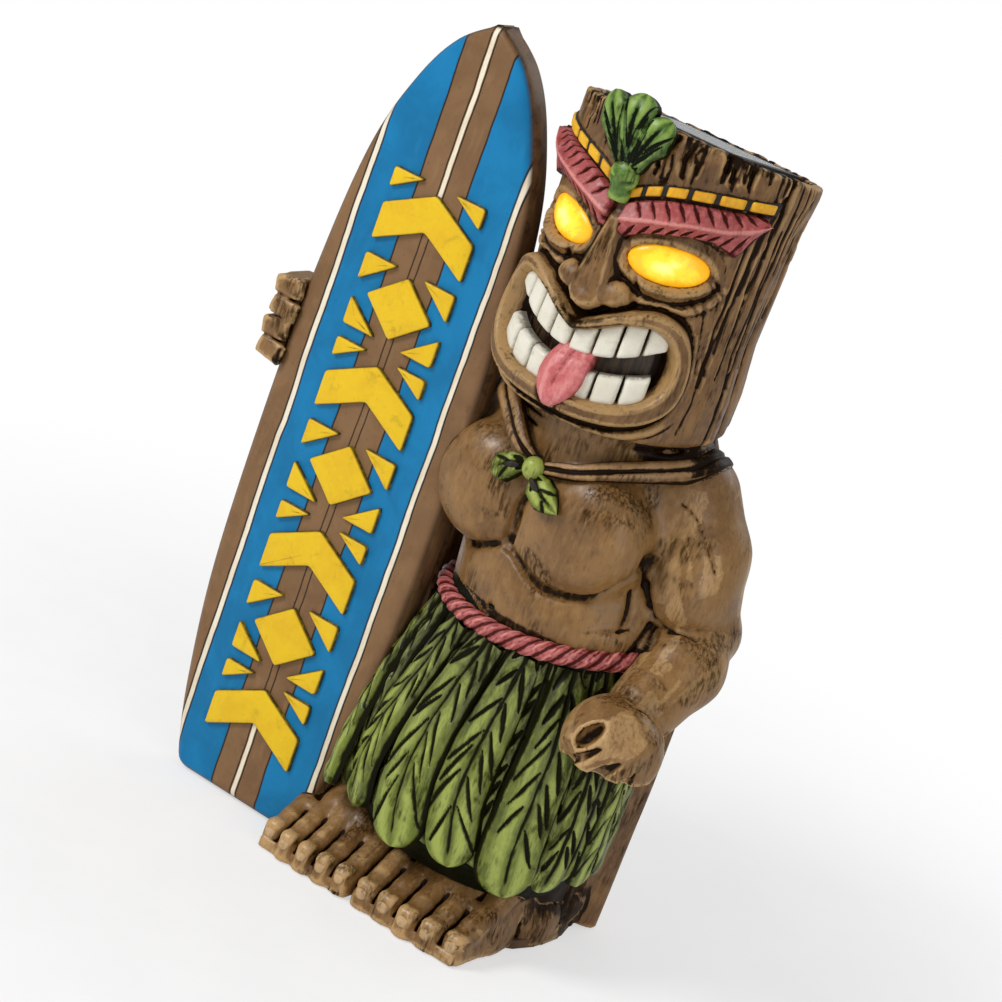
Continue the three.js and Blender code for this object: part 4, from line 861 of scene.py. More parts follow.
class Relief:
    """Heights over the unrolled log, on a fine grid."""

    def __init__(self, step=0.45):
        self.u = np.arange(-153.2, 153.2, step)
        self.v = np.arange(-8, 130, step)
        self.U, self.V = np.meshgrid(self.u, self.v, indexing="ij")
        self.h = np.zeros(self.U.shape)
        self.dark = np.zeros(self.U.shape)

    def from_line(self, points, window=None):
        U, V = (self.U, self.V) if window is None else (self.U[window], self.V[window])
        best = np.full(U.shape, 1e9)
        p = np.asarray(points, float)
        for a, b in zip(p[:-1], p[1:]):
            e = b - a
            t = np.clip(((U - a[0]) * e[0] + (V - a[1]) * e[1]) / max(e @ e, 1e-9), 0, 1)
            best = np.minimum(best, (U - a[0] - t * e[0]) ** 2 + (V - a[1] - t * e[1]) ** 2)
        return np.sqrt(best)

    def from_area(self, points):
        """Distance to a closed outline, negative inside."""
        p = np.asarray(points, float)
        best = self.from_line(np.vstack([p, p[:1]]))
        inside = np.zeros(self.U.shape, bool)
        for a, b in zip(p, np.roll(p, -1, 0)):
            crosses = (a[1] > self.V) != (b[1] > self.V)
            at = a[0] + (self.V - a[1]) / (b[1] - a[1] + 1e-12) * (b[0] - a[0])
            inside ^= crosses & (self.U < at)
        return np.where(inside, -best, best)

    def near(self, low, high):
        cuts = []
        for axis, (a, b) in zip((self.u, self.v), zip(low, high)):
            cuts.append(slice(int(np.searchsorted(axis, a)), int(np.searchsorted(axis, b))))
        return tuple(cuts)

    def groove(self, points, depth, width, stain=0.0):
        p = np.asarray(points, float)
        window = self.near(p.min(0) - 4 * width, p.max(0) + 4 * width)
        if self.h[window].size:
            gap = self.from_line(p, window)
            self.h[window] -= depth * bump_at(gap, width)
            self.dark[window] = np.maximum(self.dark[window], stain * bump_at(gap, 0.9 * width))

    def sample(self, u, v, field=None):
        field = self.h if field is None else field
        i = np.clip((u - self.u[0]) / (self.u[1] - self.u[0]), 0, len(self.u) - 1.001)
        j = np.clip((v - self.v[0]) / (self.v[1] - self.v[0]), 0, len(self.v) - 1.001)
        i0, j0 = i.astype(int), j.astype(int)
        a, b = i - i0, j - j0
        return (field[i0, j0] * (1 - a) * (1 - b) + field[i0 + 1, j0] * a * (1 - b)
                + field[i0, j0 + 1] * (1 - a) * b + field[i0 + 1, j0 + 1] * a * b)


LIP_OUTER = [(0, 40.5), (6, 44.6), (16.5, 51), (29, 55), (40, 51.5), (46.5, 43), (48.5, 30), (46, 18.5),
             (39, 10.5), (28, 5.3), (14, 2.8), (0, 2.2)]
LIP_INNER = [(0, 34.6), (7.4, 37.9), (18.2, 43.9), (29.4, 46.2), (36, 42.2), (39, 34.4), (37.7, 25.7),
             (30.8, 17.8), (19.7, 13.6), (9.5, 12.4), (0, 12.2)]


def both_sides(half):
    """A closed outline from its right half, which starts and ends on the middle."""
    right = spline(half, 8)
    left = right[::-1][1:-1] * [-1, 1]
    return np.vstack([right, left])


def above_cut(y, z):
    """Height over the log's slanted top."""
    return CUT_SLOPE * y + CUT_RISE * (z - CUT_HEIGHT)


def almond(side, grow=0.0):
    """An eye's outline on the unrolled log, with its outer corner raised."""
    points = []
    for i in range(EYE_POINTS):
        t = 2 * math.pi * i / EYE_POINTS
        x, y = math.cos(t), math.sin(t)
        lean = 0.09 * x
        points.append((side * EYE_U + (EYE_HALF_WIDTH + grow) * side * x,
                       EYE_V + (EYE_HALF_HEIGHT + grow) * y + EYE_TILT * lean))
    return points


def carve_face(relief):
    U, V = relief.U, relief.V
    a = np.abs(U)
    h = relief.h
    # weathered vertical grain on the sides, the back and above the bead band
    for _ in range(SIDE_GROOVES):
        u = RNG.uniform(-153, 153)
        if abs(u) < 56:
            continue
        start = RNG.uniform(-8, 96)
        length = RNG.uniform(20, 110)
        steps = np.linspace(start, min(start + length, 128), 10)
        drift = np.cumsum(RNG.normal(0, 0.5, 10))
        relief.groove(np.column_stack([u + drift, steps]), RNG.uniform(0.7, 2.2), RNG.uniform(0.6, 1.3),
                      RNG.uniform(0.5, 1.0))
    for _ in range(BAND_GROOVES):
        u = RNG.uniform(-62, 62)
        low = bottom_of_band(u) + RNG.uniform(7, 17)
        high = low + RNG.uniform(4, 18)
        middle = (u + RNG.uniform(-1, 1), (low + high) / 2)
        end = (u + RNG.uniform(-1.5, 1.5), high)
        relief.groove([(u, low), middle, end], RNG.uniform(0.7, 1.7), RNG.uniform(0.5, 1.0),
                      RNG.uniform(0.5, 1.0))
    sides = step_up(a, 52, 66)
    coarse, fine = np.sin(U / 5.1 + 0.8 * np.sin(V / 31)), np.sin(U / 2.3 + 0.5 * np.sin(V / 23))
    h += sides * (0.5 * coarse + 0.35 * fine)
    # cheeks and the planes beside the nose
    h += 2.4 * np.exp(-((a - 30) / 13) ** 2 - ((V - 57) / 7) ** 2)
    h -= 1.6 * np.exp(-((a - 14) / 5) ** 2 - ((V - 62) / 8) ** 2)
    # lids, bags and crow's feet
    for side in (-1, 1):
        eye = relief.from_area(almond(side))
        lower = step_up(71 - V, -2, 6)
        h[:] = np.where(eye < 0, np.minimum(h, -3.0), h)
        lid = 2.8 * bump_at(eye - 2.3, 1.8) * (0.4 + 0.6 * lower)
        h += lid - 1.5 * bump_at(eye - 6.4, 0.9) * (0.5 + 0.5 * lower)
        bag = 1.5 * bump_at(eye - 9.0, 2.0) * lower
        h += bag - 0.9 * bump_at(eye - 12.2, 0.8) * lower * step_up(a, 14, 22)
        relief.groove([(side * 40, 75), (side * 47, 70.5), (side * 52, 66)], 1.5, 0.8)
        relief.groove([(side * 43, 71), (side * 49, 65.5), (side * 52, 61)], 1.0, 0.7)
        relief.groove([(side * 44, 63), (side * 47.5, 55), (side * 51, 44), (side * 52.8, 34)], 1.4, 0.9)
        relief.groove([(side * 51, 50), (side * 55, 38), (side * 56, 22), (side * 54, 8)], 1.2, 0.9)
        relief.groove([(side * 38.6, 61.6), (side * 44, 57), (side * 47, 50)], 0.9, 0.8)
    # nose: a broad wedge with a flat front, wings and nostrils
    t = np.clip((81 - V) / 36, 0, 1.2)
    front = 4.0 + 5.4 * t
    flat, wide = 1.8 + 4.6 * t, 4.6 + 9.6 * t ** 1.25
    wedge = front * np.clip((wide - a) / (wide - flat), 0, 1)
    wedge *= step_up(V, 43.6 + 0.30 * a, 46.2 + 0.30 * a) * step_up(86 - V, 0, 5)
    wing = np.clip(1 - ((a - 10.8) / 6.6) ** 2 - ((V - 53.4) / 6.8) ** 2, 0, 1) ** 0.5 * 7.2
    bulb = np.clip(1 - (a / 6.5) ** 2 - ((V - 49) / 5.5) ** 2, 0, 1) ** 0.5 * 9.3
    nose = smooth_max(smooth_max(wedge, wing, 3.6), bulb, 2.2)
    nose -= float(smooth_max(smooth_max(0.0, 0.0, 3.6), 0.0, 2.2))
    nose -= 5.5 * np.exp(-((a - 7.8) / 2.6) ** 2 - ((V - 47.4) / 1.9) ** 2) * step_up(nose, 0.5, 3)
    h[:] = np.where(nose > 0.2, smooth_max(h, nose, 1.2), h)
    for side in (1, -1):
        relief.groove([(0, 42.5), (side * 7, 45.2), (side * 14, 48), (side * 18.5, 52), (side * 18.5, 58),
                       (side * 15.5, 63)], 1.6, 0.9)
    for side in (-1, 1):
        relief.groove([(side * 5, 80), (side * 9.5, 72), (side * 12, 64)], 0.9, 0.9)
    # lips, with the mouth's opening sunk behind them
    outer, inner = relief.from_area(both_sides(LIP_OUTER)), relief.from_area(both_sides(LIP_INNER))
    ring = 6.6 * step_up(-outer, -0.6, 2.6) * step_up(inner, -0.4, 2.0)
    ring += 0.7 * bump_at(inner - 3.0, 1.6) * (outer < 0)
    h[:] = np.where(outer < 0.6, ring + np.minimum(h, 0.4) * step_up(outer, -1, 0.6), h)
    h -= 1.7 * bump_at(outer - 1.0, 1.0)
    h[:] = np.where(inner < 0, -6.0 * step_up(-inner, -0.2, 1.2) + h * (1 - step_up(-inner, -0.2, 1.2)), h)
    # chin folds under the lower lip
    low = step_up(20 - V, 0, 14)
    h += 1.6 * bump_at(outer - 4.0, 2.2) * low - 1.3 * bump_at(outer - 7.0, 0.9) * low
    return inner


def head():
    relief = Relief()
    mouth = carve_face(relief)
    clay = Clay((-57, -66, -5), (57, 57, 127), 0.88, HEAD)
    x, y, z = clay.everywhere()
    radius = np.sqrt(x * x + y * y)
    u = HEAD_R * np.arctan2(x, -y)
    bare = np.interp(z, LOG_Z, LOG_R).astype(np.float32)
    height = relief.sample(u + 0 * z, z + 0 * u)
    d = (radius - bare - height).astype(np.float32)
    # the slanted cut, chiselled on its rim, and the panel's recess
    rim = 1.2 * np.sin(u / 3.3) * np.sin(u / 1.9 + 1) * step_up(radius, 42, 47) + 0 * z
    top = (above_cut(y, z) + 0.35 * rim).astype(np.float32)
    bottom = (-(z + 1.5 - 0.1 * (y + 50))).astype(np.float32)
    d = smooth_max(d, top, 1.6)
    d = smooth_max(d, bottom, 3.0)
    recess = np.maximum(radius - RECESS_R, -(top + RECESS_DEPTH))
    clay.d = smooth_max(d, -recess, 0.6).astype(np.float32)
    well = np.maximum(np.maximum(np.abs(x) - WELL_HALF, np.abs(y) - WELL_HALF), -(top + WELL_DEPTH))
    well = well.astype(np.float32)
    clay.d = np.maximum(clay.d, -well)
    points, quads, wash, ridge = clay.mesh()
    angle = HEAD_R * np.arctan2(points[:, 0], -points[:, 1])
    r = np.hypot(points[:, 0], points[:, 1])
    inside = relief.sample(angle, points[:, 2], mouth)
    tone = step_up(-inside, 0.3, 1.5) * (points[:, 1] < -20) * step_up(1.5 - (r - 47), 0, 2)
    slope = above_cut(points[:, 1], points[:, 2])
    on_rim = step_up(slope, -1.6, -0.2) * step_up(r, 42, 45)
    ridge = np.clip(ridge + 0.9 * on_rim, 0, 1)
    wash = np.clip(wash + relief.sample(angle, points[:, 2], relief.dark), 0, 1)
    face_wood = painted(
        "resin_head", linear(130, 93, 50), linear(180, 143, 92), second=linear(96, 64, 30), hair=0.6,
        streak=(1.0, 1.0, 0.2), wash=1.0, brush=0.8, tone_colour=linear(34, 18, 8), gloss=0.4, base_noise=0.2,
    )
    piece("head", points + HEAD, quads, face_wood, wash, ridge, tone, replaces=["head_casting"])


def pillow(u_edges, v_low, v_high, base, top, columns=11, rows=13, power=8.0):
    """A raised pad on the log between two side edges and two heights. Edges fall back to base."""
    s = np.linspace(-1, 1, columns)
    t = np.linspace(-1, 1, rows)
    s = np.sign(s) * (1 - (1 - np.abs(s)) ** 1.6)
    t = np.sign(t) * (1 - (1 - np.abs(t)) ** 1.6)
    S, T = np.meshgrid(s, t, indexing="ij")
    left, right = u_edges
    u = left + (right - left) * (S + 1) / 2
    v = v_low(u) + (v_high(u) - v_low(u)) * (T + 1) / 2
    crown = np.sqrt(np.clip(1 - np.abs(S) ** power, 0, 1) * np.clip(1 - np.abs(T) ** power, 0, 1))
    lift = base + (top - base) * crown
    wash = np.clip(1.15 * (1 - crown), 0, 1)
    return on_log(u, v, lift).reshape(-1, 3), grid_faces(columns, rows)[:, ::-1], wash.ravel()


def teeth():
    upper_line = spline(LIP_INNER[:6], 8)
    lower_line = spline(LIP_INNER[5:], 8)[::-1]
    gum_top = lambda u: np.interp(np.abs(u), upper_line[:, 0], upper_line[:, 1]) + 1.6
    gum_low = lambda u: np.interp(np.abs(u), lower_line[:, 0], lower_line[:, 1]) - 1.6
    bite_top = lambda u: 27.6 + 0.0095 * np.asarray(u) ** 2
    bite_low = lambda u: 22.2 + 0.0056 * np.asarray(u) ** 2
    gap = 0.28
    upper_edges = [0, 9.6, 18.6, 27.8, 37.2]
    lower_edges = [5.0, 14.6, 25.0, 35.0]
    count = 1
    for side in (1, -1):
        for a, b in zip(upper_edges[:-1], upper_edges[1:]):
            edges = (a + gap, b - gap) if side > 0 else (-b + gap, -a - gap)
            tooth = pillow(edges, bite_top, gum_top, -2.0, 3.6, power=10)
            piece(f"tooth_upper_{count}", tooth[0], tooth[1], IVORY, tooth[2])
            count += 1
    spans = [(-5.0, 5.0)] + [(a, b) for a, b in zip(lower_edges[:-1], lower_edges[1:])]
    spans += [(-b, -a) for a, b in zip(lower_edges[:-1], lower_edges[1:])]
    for index, (a, b) in enumerate(spans):
        tooth = pillow((a + gap, b - gap), gum_low, bite_low, -2.0, 3.4, power=10)
        piece(f"tooth_lower_{index + 1}", tooth[0], tooth[1], IVORY, tooth[2])


def tongue():
    rows, columns = 44, 31
    t = np.linspace(0, 1, rows)
    v = np.interp(t, [0, 1], [33, 3.8])
    middle = np.interp(v, [3.8, 10, 20, 30], [1.6, 2.4, 3.0, 4.0])
    half = np.interp(v, [3.8, 4.2, 5.4, 8, 12, 17, 22, 33], [0.4, 1.6, 3.0, 5.2, 7.4, 8.8, 8.8, 7.2])
    rise = np.interp(v, [3.8, 6, 10, 15, 20, 25, 29, 33], [6.8, 8.2, 9.1, 8.6, 7.4, 5.6, 2.6, -2.4])
    s = np.linspace(-1, 1, columns)
    T, S = np.meshgrid(t, s, indexing="ij")
    lift = rise[:, None] - 2.2 * np.abs(S) ** 3 - 7 * np.clip(np.abs(S) - 0.94, 0, 1) / 0.06
    groove = bump_at(S + 0.1 * T, 0.09) * step_up(0.86 - T, 0, 0.25)
    lift = lift - 0.9 * groove
    lift[-1] -= 5
    u = middle[:, None] + half[:, None] * S
    vv = v[:, None] + 0 * S + 0.9 * (1 - S * S) * (T < 0.02)
    wash = 0.5 * groove + 0.9 * step_up(np.abs(S), 0.9, 1.0)
    points = on_log(u, vv, lift).reshape(-1, 3)
    piece("tongue", points, grid_faces(rows, columns), PINK, wash.ravel(),
          (0.5 * bump_at(np.abs(S) - 0.5, 0.25)).ravel())


def brows():
    """Two broad leaf bands, each with an upper and a lower facet cut with slanted nicks."""
    columns, rows = 150, 40
    for side, word in ((1, "right"), (-1, "left")):
        s = np.linspace(0, 1, columns)
        u = 2.2 + 55 * s
        top = bottom_of_band(u) - 0.9
        top = np.where(s > 0.97, top - 1.2, top)
        low = np.interp(u, [2.2, 5.8, 12, 18, 29.3, 38, 44, 48.4, 53, 57.2],
                        [77, 75.9, 79.6, 82, 85.0, 85.6, 83.6, 81.6, 88.5, 98.0])
        ridge = np.interp(u, [2.2, 13.4, 27.6, 39.7, 51.2, 57.2], [82.6, 86.4, 90.4, 92.2, 96.2, 99.2])
        t = np.linspace(0, 1, rows)
        share = np.interp(t, [0, 0.5, 1], [0, 1, 2])
        v = np.where(share[None, :] <= 1, low[:, None] + (ridge - low)[:, None] * share[None, :],
                     ridge[:, None] + (top - ridge)[:, None] * (share[None, :] - 1))
        U = side * u[:, None] + 0 * v
        body = np.interp(t, [0, 0.04, 0.5, 0.95, 1], [-2.5, 2.6, 6.6, 3.2, -2.5])
        end = np.clip(np.minimum(s / 0.02, (1 - s) / 0.02), 0, 1)[:, None]
        lift = body[None, :] * end - 2.5 * (1 - end) + 0 * v
        cut = np.zeros(v.shape)
        for start in np.arange(3, 56, 5.0):
            for upper in (0, 1):
                u0 = start + 2.0 * upper
                if upper:
                    a = (u0 + 1.5, np.interp(u0 + 1.5, u, top) - 0.2)
                    b = (u0 + 5.4, np.interp(u0 + 5.4, u, ridge) + 1.6)
                else:
                    a = (u0 - 2.2, np.interp(max(u0 - 2.2, 2.2), u, low) + 1.2)
                    b = (u0 + 1.2, np.interp(u0 + 1.2, u, ridge) - 2.0)
                a, b = np.array(a), np.array(b)
                e = b - a
                k = np.clip(((u[:, None] - a[0]) * e[0] + (v - a[1]) * e[1]) / (e @ e), 0, 1)
                gap = np.hypot(u[:, None] - a[0] - k * e[0], v - a[1] - k * e[1])
                width = 0.55 * (1.15 - 0.8 * np.abs(2 * k - 1))
                cut = np.maximum(cut, np.exp(-(gap / width) ** 2))
        lift = lift - 1.5 * cut * end
        wash = np.clip(1.1 * cut + 0.9 * step_up(0.10 - t, 0, 0.08)[None, :] + (1 - end), 0, 1)
        high = 0.8 * bump_at(t - 0.5, 0.07)[None, :] + 0 * v
        points = on_log(U, v, lift).reshape(-1, 3)
        piece(f"brow_{word}", points, facing_out(grid_faces(columns, rows), side), CRIMSON, wash.ravel(),
              high.ravel())


def bead_band():
    def low(u):
        return bottom_of_band(u) + 0.3

    def high(u):
        return bottom_of_band(u) + 4.7

    for side, word in ((1, "right"), (-1, "left")):
        u = np.linspace(0, 60.5, 90)
        t = np.linspace(0, 1, 9)
        v = bottom_of_band(u)[:, None] + (-0.5 + 5.9 * t)[None, :]
        lift = np.interp(t, [0, 0.1, 0.9, 1], [-2, 1.0, 1.0, -2])[None, :] + 0 * v
        points = on_log(side * u[:, None] + 0 * v, v, lift).reshape(-1, 3)
        faces = grid_faces(len(u), len(t))
        piece(f"bead_backing_{word}", points, facing_out(faces, side), BLACK)
        edges = [0.4, 7.4, 14.8, 24.0, 34.0, 46.0, 59.6]
        for index, (a, b) in enumerate(zip(edges[:-1], edges[1:])):
            span = (a + 0.7, b - 0.7) if side > 0 else (-b + 0.7, -a - 0.7)
            bead = pillow(span, low, high, -1.0, 2.0, columns=13, rows=11, power=9)
            piece(f"bead_{word}_{index + 1}", bead[0], bead[1], AMBER, np.clip(bead[2] - 0.05, 0, 1))


def lenses():
    for side, word in ((-1, "left"), (1, "right")):
        rim = np.array(almond(side, 0.5))
        middle = rim.mean(0)
        rings = np.array([1.0, 0.97, 0.9, 0.78, 0.62, 0.44, 0.24, 0.06])
        lift = np.array([-2.6, -0.9, -0.1, 0.5, 1.0, 1.3, 1.45, 1.5])
        verts, tone = [], []
        for share, rise in zip(rings, lift):
            flat = middle + (rim - middle) * share
            verts.append(on_log(flat[:, 0], flat[:, 1], np.full(len(flat), rise)))
            # tone grows towards the middle, where the lens material paints its glow brightest
            tone += [1.0 - share] * len(flat)
        verts = np.concatenate(verts)
        faces = facing_out(grid_faces(len(rings), len(rim), True), side)
        hub = len(verts)
        verts = np.vstack([verts, on_log(middle[0], middle[1], 1.5)[None, :]])
        last = (len(rings) - 1) * len(rim)
        fan = np.array([(last + i, last + (i + 1) % len(rim), hub) for i in range(len(rim))])
        fan = facing_out(fan, side)
        tris = np.concatenate([faces[:, [0, 1, 2]], faces[:, [0, 2, 3]], fan])
        piece(f"lens_{word}", verts, tris, LENS, tone=np.array(tone + [1.0]), slot="eye_lens",
              replaces=[f"eye_lens_{word}"])


# ------------------------------------------------------------------ body


def vertex_normals(points, faces):
    """Unit normals at the points of a mesh of quads."""
    cross = np.cross(points[faces[:, 2]] - points[faces[:, 0]], points[faces[:, 3]] - points[faces[:, 1]])
    normals = np.zeros(points.shape)
    for axis in range(3):
        for corner in range(4):
            normals[:, axis] += np.bincount(faces[:, corner], cross[:, axis], len(points))
    return normals / (np.linalg.norm(normals, axis=1)[:, None] + 1e-12)


def chisel(points, faces, spacing, most, share=1.0, seed=3):
    """Planes the surface flat round scattered middles, as a blade would, up to a lift of `most` mm.

    Returns the new points, how near each is to an edge between two planes, and a random value for its plane,
    which callers use to paint some planes lighter (painted light on facets).
    """
    rng = np.random.default_rng(seed)
    normals = vertex_normals(points, faces)
    for _ in range(2):
        blurred = np.zeros(points.shape)
        middle = normals[faces].mean(1)
        for axis in range(3):
            for corner in range(4):
                blurred[:, axis] += np.bincount(faces[:, corner], middle[:, axis], len(points))
        normals = blurred / (np.linalg.norm(blurred, axis=1)[:, None] + 1e-12)
    taken = []
    for index in rng.permutation(len(points))[:5000]:
        if not taken or np.min(np.sum((points[taken] - points[index]) ** 2, 1)) > spacing ** 2:
            taken.append(index)
    lowest = np.full(len(points), 1e3)
    second = np.full(len(points), 1e3)
    shade = np.zeros(len(points))
    for index in taken:
        gap = points[index] - points
        facing = normals @ normals[index]
        near = (np.sum(gap ** 2, 1) < (1.9 * spacing) ** 2) & (facing > 0.45)
        lift = np.where(near, (gap @ normals[index]) / np.maximum(facing, 0.3), 1e3)
        below = lift < lowest
        second = np.where(below, lowest, np.minimum(second, lift))
        shade = np.where(below, rng.random(), shade)
        lowest = np.minimum(lift, lowest)
    lift = np.clip(lowest - 0.25 * most, -0.35 * most, most) * share
    edge = np.exp(-((second - lowest) / 0.16) ** 2) * np.clip(share, 0, 1) * (lowest > 0.15 * most)
    return points + normals * lift[:, None], edge, shade


def ovals(levels, power=2.0):
    """A stack of ovals: each level is height, centre x, centre y, half width and half depth."""
    table = np.array(levels, float)

    def distance(x, y, z):
        at = [np.interp(z, table[:, 0], table[:, i]) for i in range(1, 5)]
        k = (np.abs((x - at[0]) / at[2]) ** power + np.abs((y - at[1]) / at[3]) ** power) ** (1 / power)
        side = (k - 1) * np.minimum(at[2], at[3])
        return np.maximum(side, np.maximum(table[0, 0] - z, z - table[-1, 0]))

    low = np.array([np.min(table[:, 1] - table[:, 3]), np.min(table[:, 2] - table[:, 4]), table[0, 0]])
    high = np.array([np.max(table[:, 1] + table[:, 3]), np.max(table[:, 2] + table[:, 4]), table[-1, 0]])
    return distance, low, high


def slab(centre, radii, power, lean):
    """A round-cornered pad: round in its own face and flatter across its depth (Y)."""
    centre = np.asarray(centre, float)
    c, s = math.cos(math.radians(lean)), math.sin(math.radians(lean))

    def distance(x, y, z):
        dx, dy, dz = x - centre[0], y - centre[1], z - centre[2]
        across, rise = c * dx + s * dz, c * dz - s * dx
        face = ((across / radii[0]) ** 2 + (rise / radii[2]) ** 2) ** (power / 2)
        return ((face + (np.abs(dy) / radii[1]) ** power) ** (1 / power) - 1) * min(radii)

    reach = np.full(3, max(radii))
    return distance, centre - reach, centre + reach


TORSO_BLOCK = ((-58, -66, 104), (96, 36, 232), 0.85, FIGURE)


def torso():
    clay = Clay(*TORSO_BLOCK)
    clay.add(ovals([(100, 12, -1, 48, 38), (128, 12, -1, 48.5, 40.5), (146, 11, -1, 49, 41.5),
                    (160, 8, 0, 48, 40), (186, 2, 0, 50, 39), (206, 0, 1, 48, 37), (214, 0, 0, 43, 36),
                    (238, 0, -3, 41, 37)]))
    clay.add(oval_blob((30, -10, 143), (24, 27, 14)), 6)
    clay.add(slab((23.5, -24, 181), (26, 21.8, 26), 3.0, -8), 4.5)
    clay.add(slab((-24.5, -22.5, 180), (24.5, 21.3, 26), 2.6, 12), 4)
    clay.limb([(43.5, 3, 203), (57, 3, 184), (65, 7, 158)], [20.5, 19.5, 16], 9, 4)
    clay.add(oval_blob((62, -3, 170), (16, 16, 19)), 5)
    clay.limb([(65, 7, 157), (72, -6, 142), (71.5, -27, 126)], [16.5, 15.8, 13.6], 1.2, 5)
    clay.add(oval_blob((69, 12, 153), (13, 12, 11)), 5)
    clay.limb([(-43.5, 6, 202), (-56, 10, 196)], [20, 15], 8, 3)
    # under the chest, between its halves, at the armpit, and down the arm
    clay.scratch([(-41, -26, 166), (-37, -30, 158), (-30, -31, 153.6), (-22, -31, 153.6), (-14, -35, 157.6),
                  (-4.5, -38.7, 163.6)], [0.6, 1.0, 1.3, 1.4, 1.2, 1.0], 2.2)
    clay.scratch([(-1.5, -38, 190), (-3.8, -38.6, 181.5), (-3.8, -38.7, 174), (-4.0, -38.6, 167),
                  (-4.5, -38.7, 163.6)], [0.4, 0.9, 1.3, 1.4, 1.1], 3.0)
    clay.scratch([(-4.5, -38.7, 163.6), (2.6, -39.6, 160.3), (11.7, -40.4, 156.1), (19.7, -39.9, 154.4),
                  (27.7, -37.5, 155.4), (34.4, -34.3, 158), (40.7, -33.5, 162.5), (45.8, -32.1, 168.7),
                  (48.8, -27.5, 175.2)], [1.0, 1.0, 1.2, 1.3, 1.3, 1.2, 1.0, 1.1, 1.4], 2.4)
    clay.carve(oval_blob((50.2, -24, 180), (3.6, 5, 5.6), lean_by(0.5)), 3)
    clay.groove([(49, -23, 177), (49.8, -18.5, 169), (53.6, -16.2, 161.7), (56.9, -15, 157.6),
                 (65.8, -15.6, 155.5), (78, -13, 156.6)], [1.7, 1.6, 1.2, 1.0, 0.7, 0.4], 1.8)
    clay.scratch([(46.3, -22.8, 165.6), (48.3, -22.5, 157.6), (50.2, -25.7, 149)], [0.4, 0.7, 0.5], 2.2)
    clay.scratch([(40, -35, 144.6), (48.9, -27.4, 148.6), (52.1, -21.9, 150.6)], [0.3, 0.5, 0.5], 1.2)
    clay.scratch([(50, -15, 205), (58.4, -13.5, 201.4), (66.8, -12.8, 192.3), (72.7, -10.7, 184)], 0.25, 1.5)
    clay.groove([(55.6, -13.8, 153.4), (55.3, -19.3, 145.1), (54.2, -22, 139.2), (54.1, -21.5, 127)],
                1.4, 1.4)
    clay.carve(oval_blob((0.1, -41.8, 137.2), (2.4, 3.0, 1.7)), 0.8)
    for lift, depth in ((0, 1.2), (4.6, 0.9)):
        clay.groove([(-24, -29, 212 + lift), (-8, -37, 211 + lift), (4, -38.3, 213 + lift),
                     (20, -35.5, 217 + lift), (34, -24, 220 + lift), (42, -6, 223 + lift)], depth, 1.2)
    # the fist: planed knuckles over a ball, the hollow inside its thumb, and grooves between fingers
    ball = Clay(*TORSO_BLOCK)
    ball.add(oval_blob(FIST, (20.7, 20.3, 20.4)))
    cuts = (((0.52, -0.62, 0.58), 18.6), ((-0.35, -0.62, 0.70), 18.9), ((-0.42, -0.86, -0.30), 18.9),
            ((0.40, -0.86, -0.32), 18.8), ((0.96, -0.28, 0.05), 19.2), ((0.15, -0.3, -0.94), 18.9),
            ((-0.93, -0.2, -0.3), 19.0), ((0.1, -0.99, 0.05), 19.2), ((0.05, -0.15, 0.98), 19.2))
    x, y, z = ball.everywhere()
    for out, reach in cuts:
        n = np.array(out) / np.linalg.norm(out)
        plane = (x - FIST[0]) * n[0] + (y - FIST[1]) * n[1] + (z - FIST[2]) * n[2] - reach
        ball.d = smooth_max(ball.d, plane.astype(np.float32), 0.5)
    ball.carve(oval_blob((69.3, -61.0, 119.3), (4.0, 6.4, 8.0), lean_by(0.52)), 0.5)
    ball.scratch([(59, -57, 103), (66, -61, 106.5), (72, -62, 111.7), (76, -61, 116)], [1.5, 1.9, 1.5, 0.6],
                 0.5, 0.3)
    ball.scratch([(69, -54, 95.5), (73.4, -58, 99.8), (78, -60, 104.2), (81.9, -59.6, 109),
                  (84.9, -57.6, 113.7)],
                 [2.2, 3.0, 2.8, 2.1, 0.7], 0.5, 0.5)
    ball.scratch([(80, -48, 94.5), (82.8, -52.5, 98.2), (87.7, -52.7, 104.9), (90.3, -50.4, 110)],
                 [2.0, 2.6, 2.3, 0.7], 0.5, 0.5)
    ball.scratch([(84, -42, 94.5), (86.3, -44.3, 97.7), (91.2, -43, 105.6)], [1.5, 1.9, 0.7], 0.5, 0.3)
    for lean in (0, 2.4, 4.8):
        ball.scratch([(58 + lean, -57 - lean / 2, 110.5 - lean),
                      (60.5 + lean, -58.5 - lean / 2, 104.5 - lean)],
                     0.7, 0.4)
    clay.d = smooth_min(clay.d, ball.d, 0.6)
    clay.groove([(62, -46, 131), (67, -45.5, 133.5), (74, -43.5, 132.5), (82.2, -38.6, 129.3),
                 (87.2, -36.2, 124), (88, -34, 116)], [1.0, 1.3, 1.4, 1.4, 1.3, 1.0], 0.9)
    clay.carve(brick((0, 60, 160), (200, 42, 120), 1))
    points, quads, wash, ridge = clay.mesh()
    x, y, z = points.T
    arm = step_up(x, 46, 60)
    fist = step_up(-np.linalg.norm(points - FIST, axis=1), -24, -20)
    calm = 1 - np.clip(1.3 * wash, 0, 1)
    share = (0.55 + 0.45 * arm) * (1 - 0.8 * fist) * calm
    points, edge, shade = chisel(points, quads, 17, 2.4, share, 5)
    # painted light: some chiselled planes are drawn lighter, as if each caught the lamp differently
    lit_facet = step_up(shade, 0.55, 0.8) * (0.16 + 0.3 * arm) * calm
    ridge = np.clip(ridge + (0.45 + 0.35 * arm) * edge + lit_facet, 0, 1)
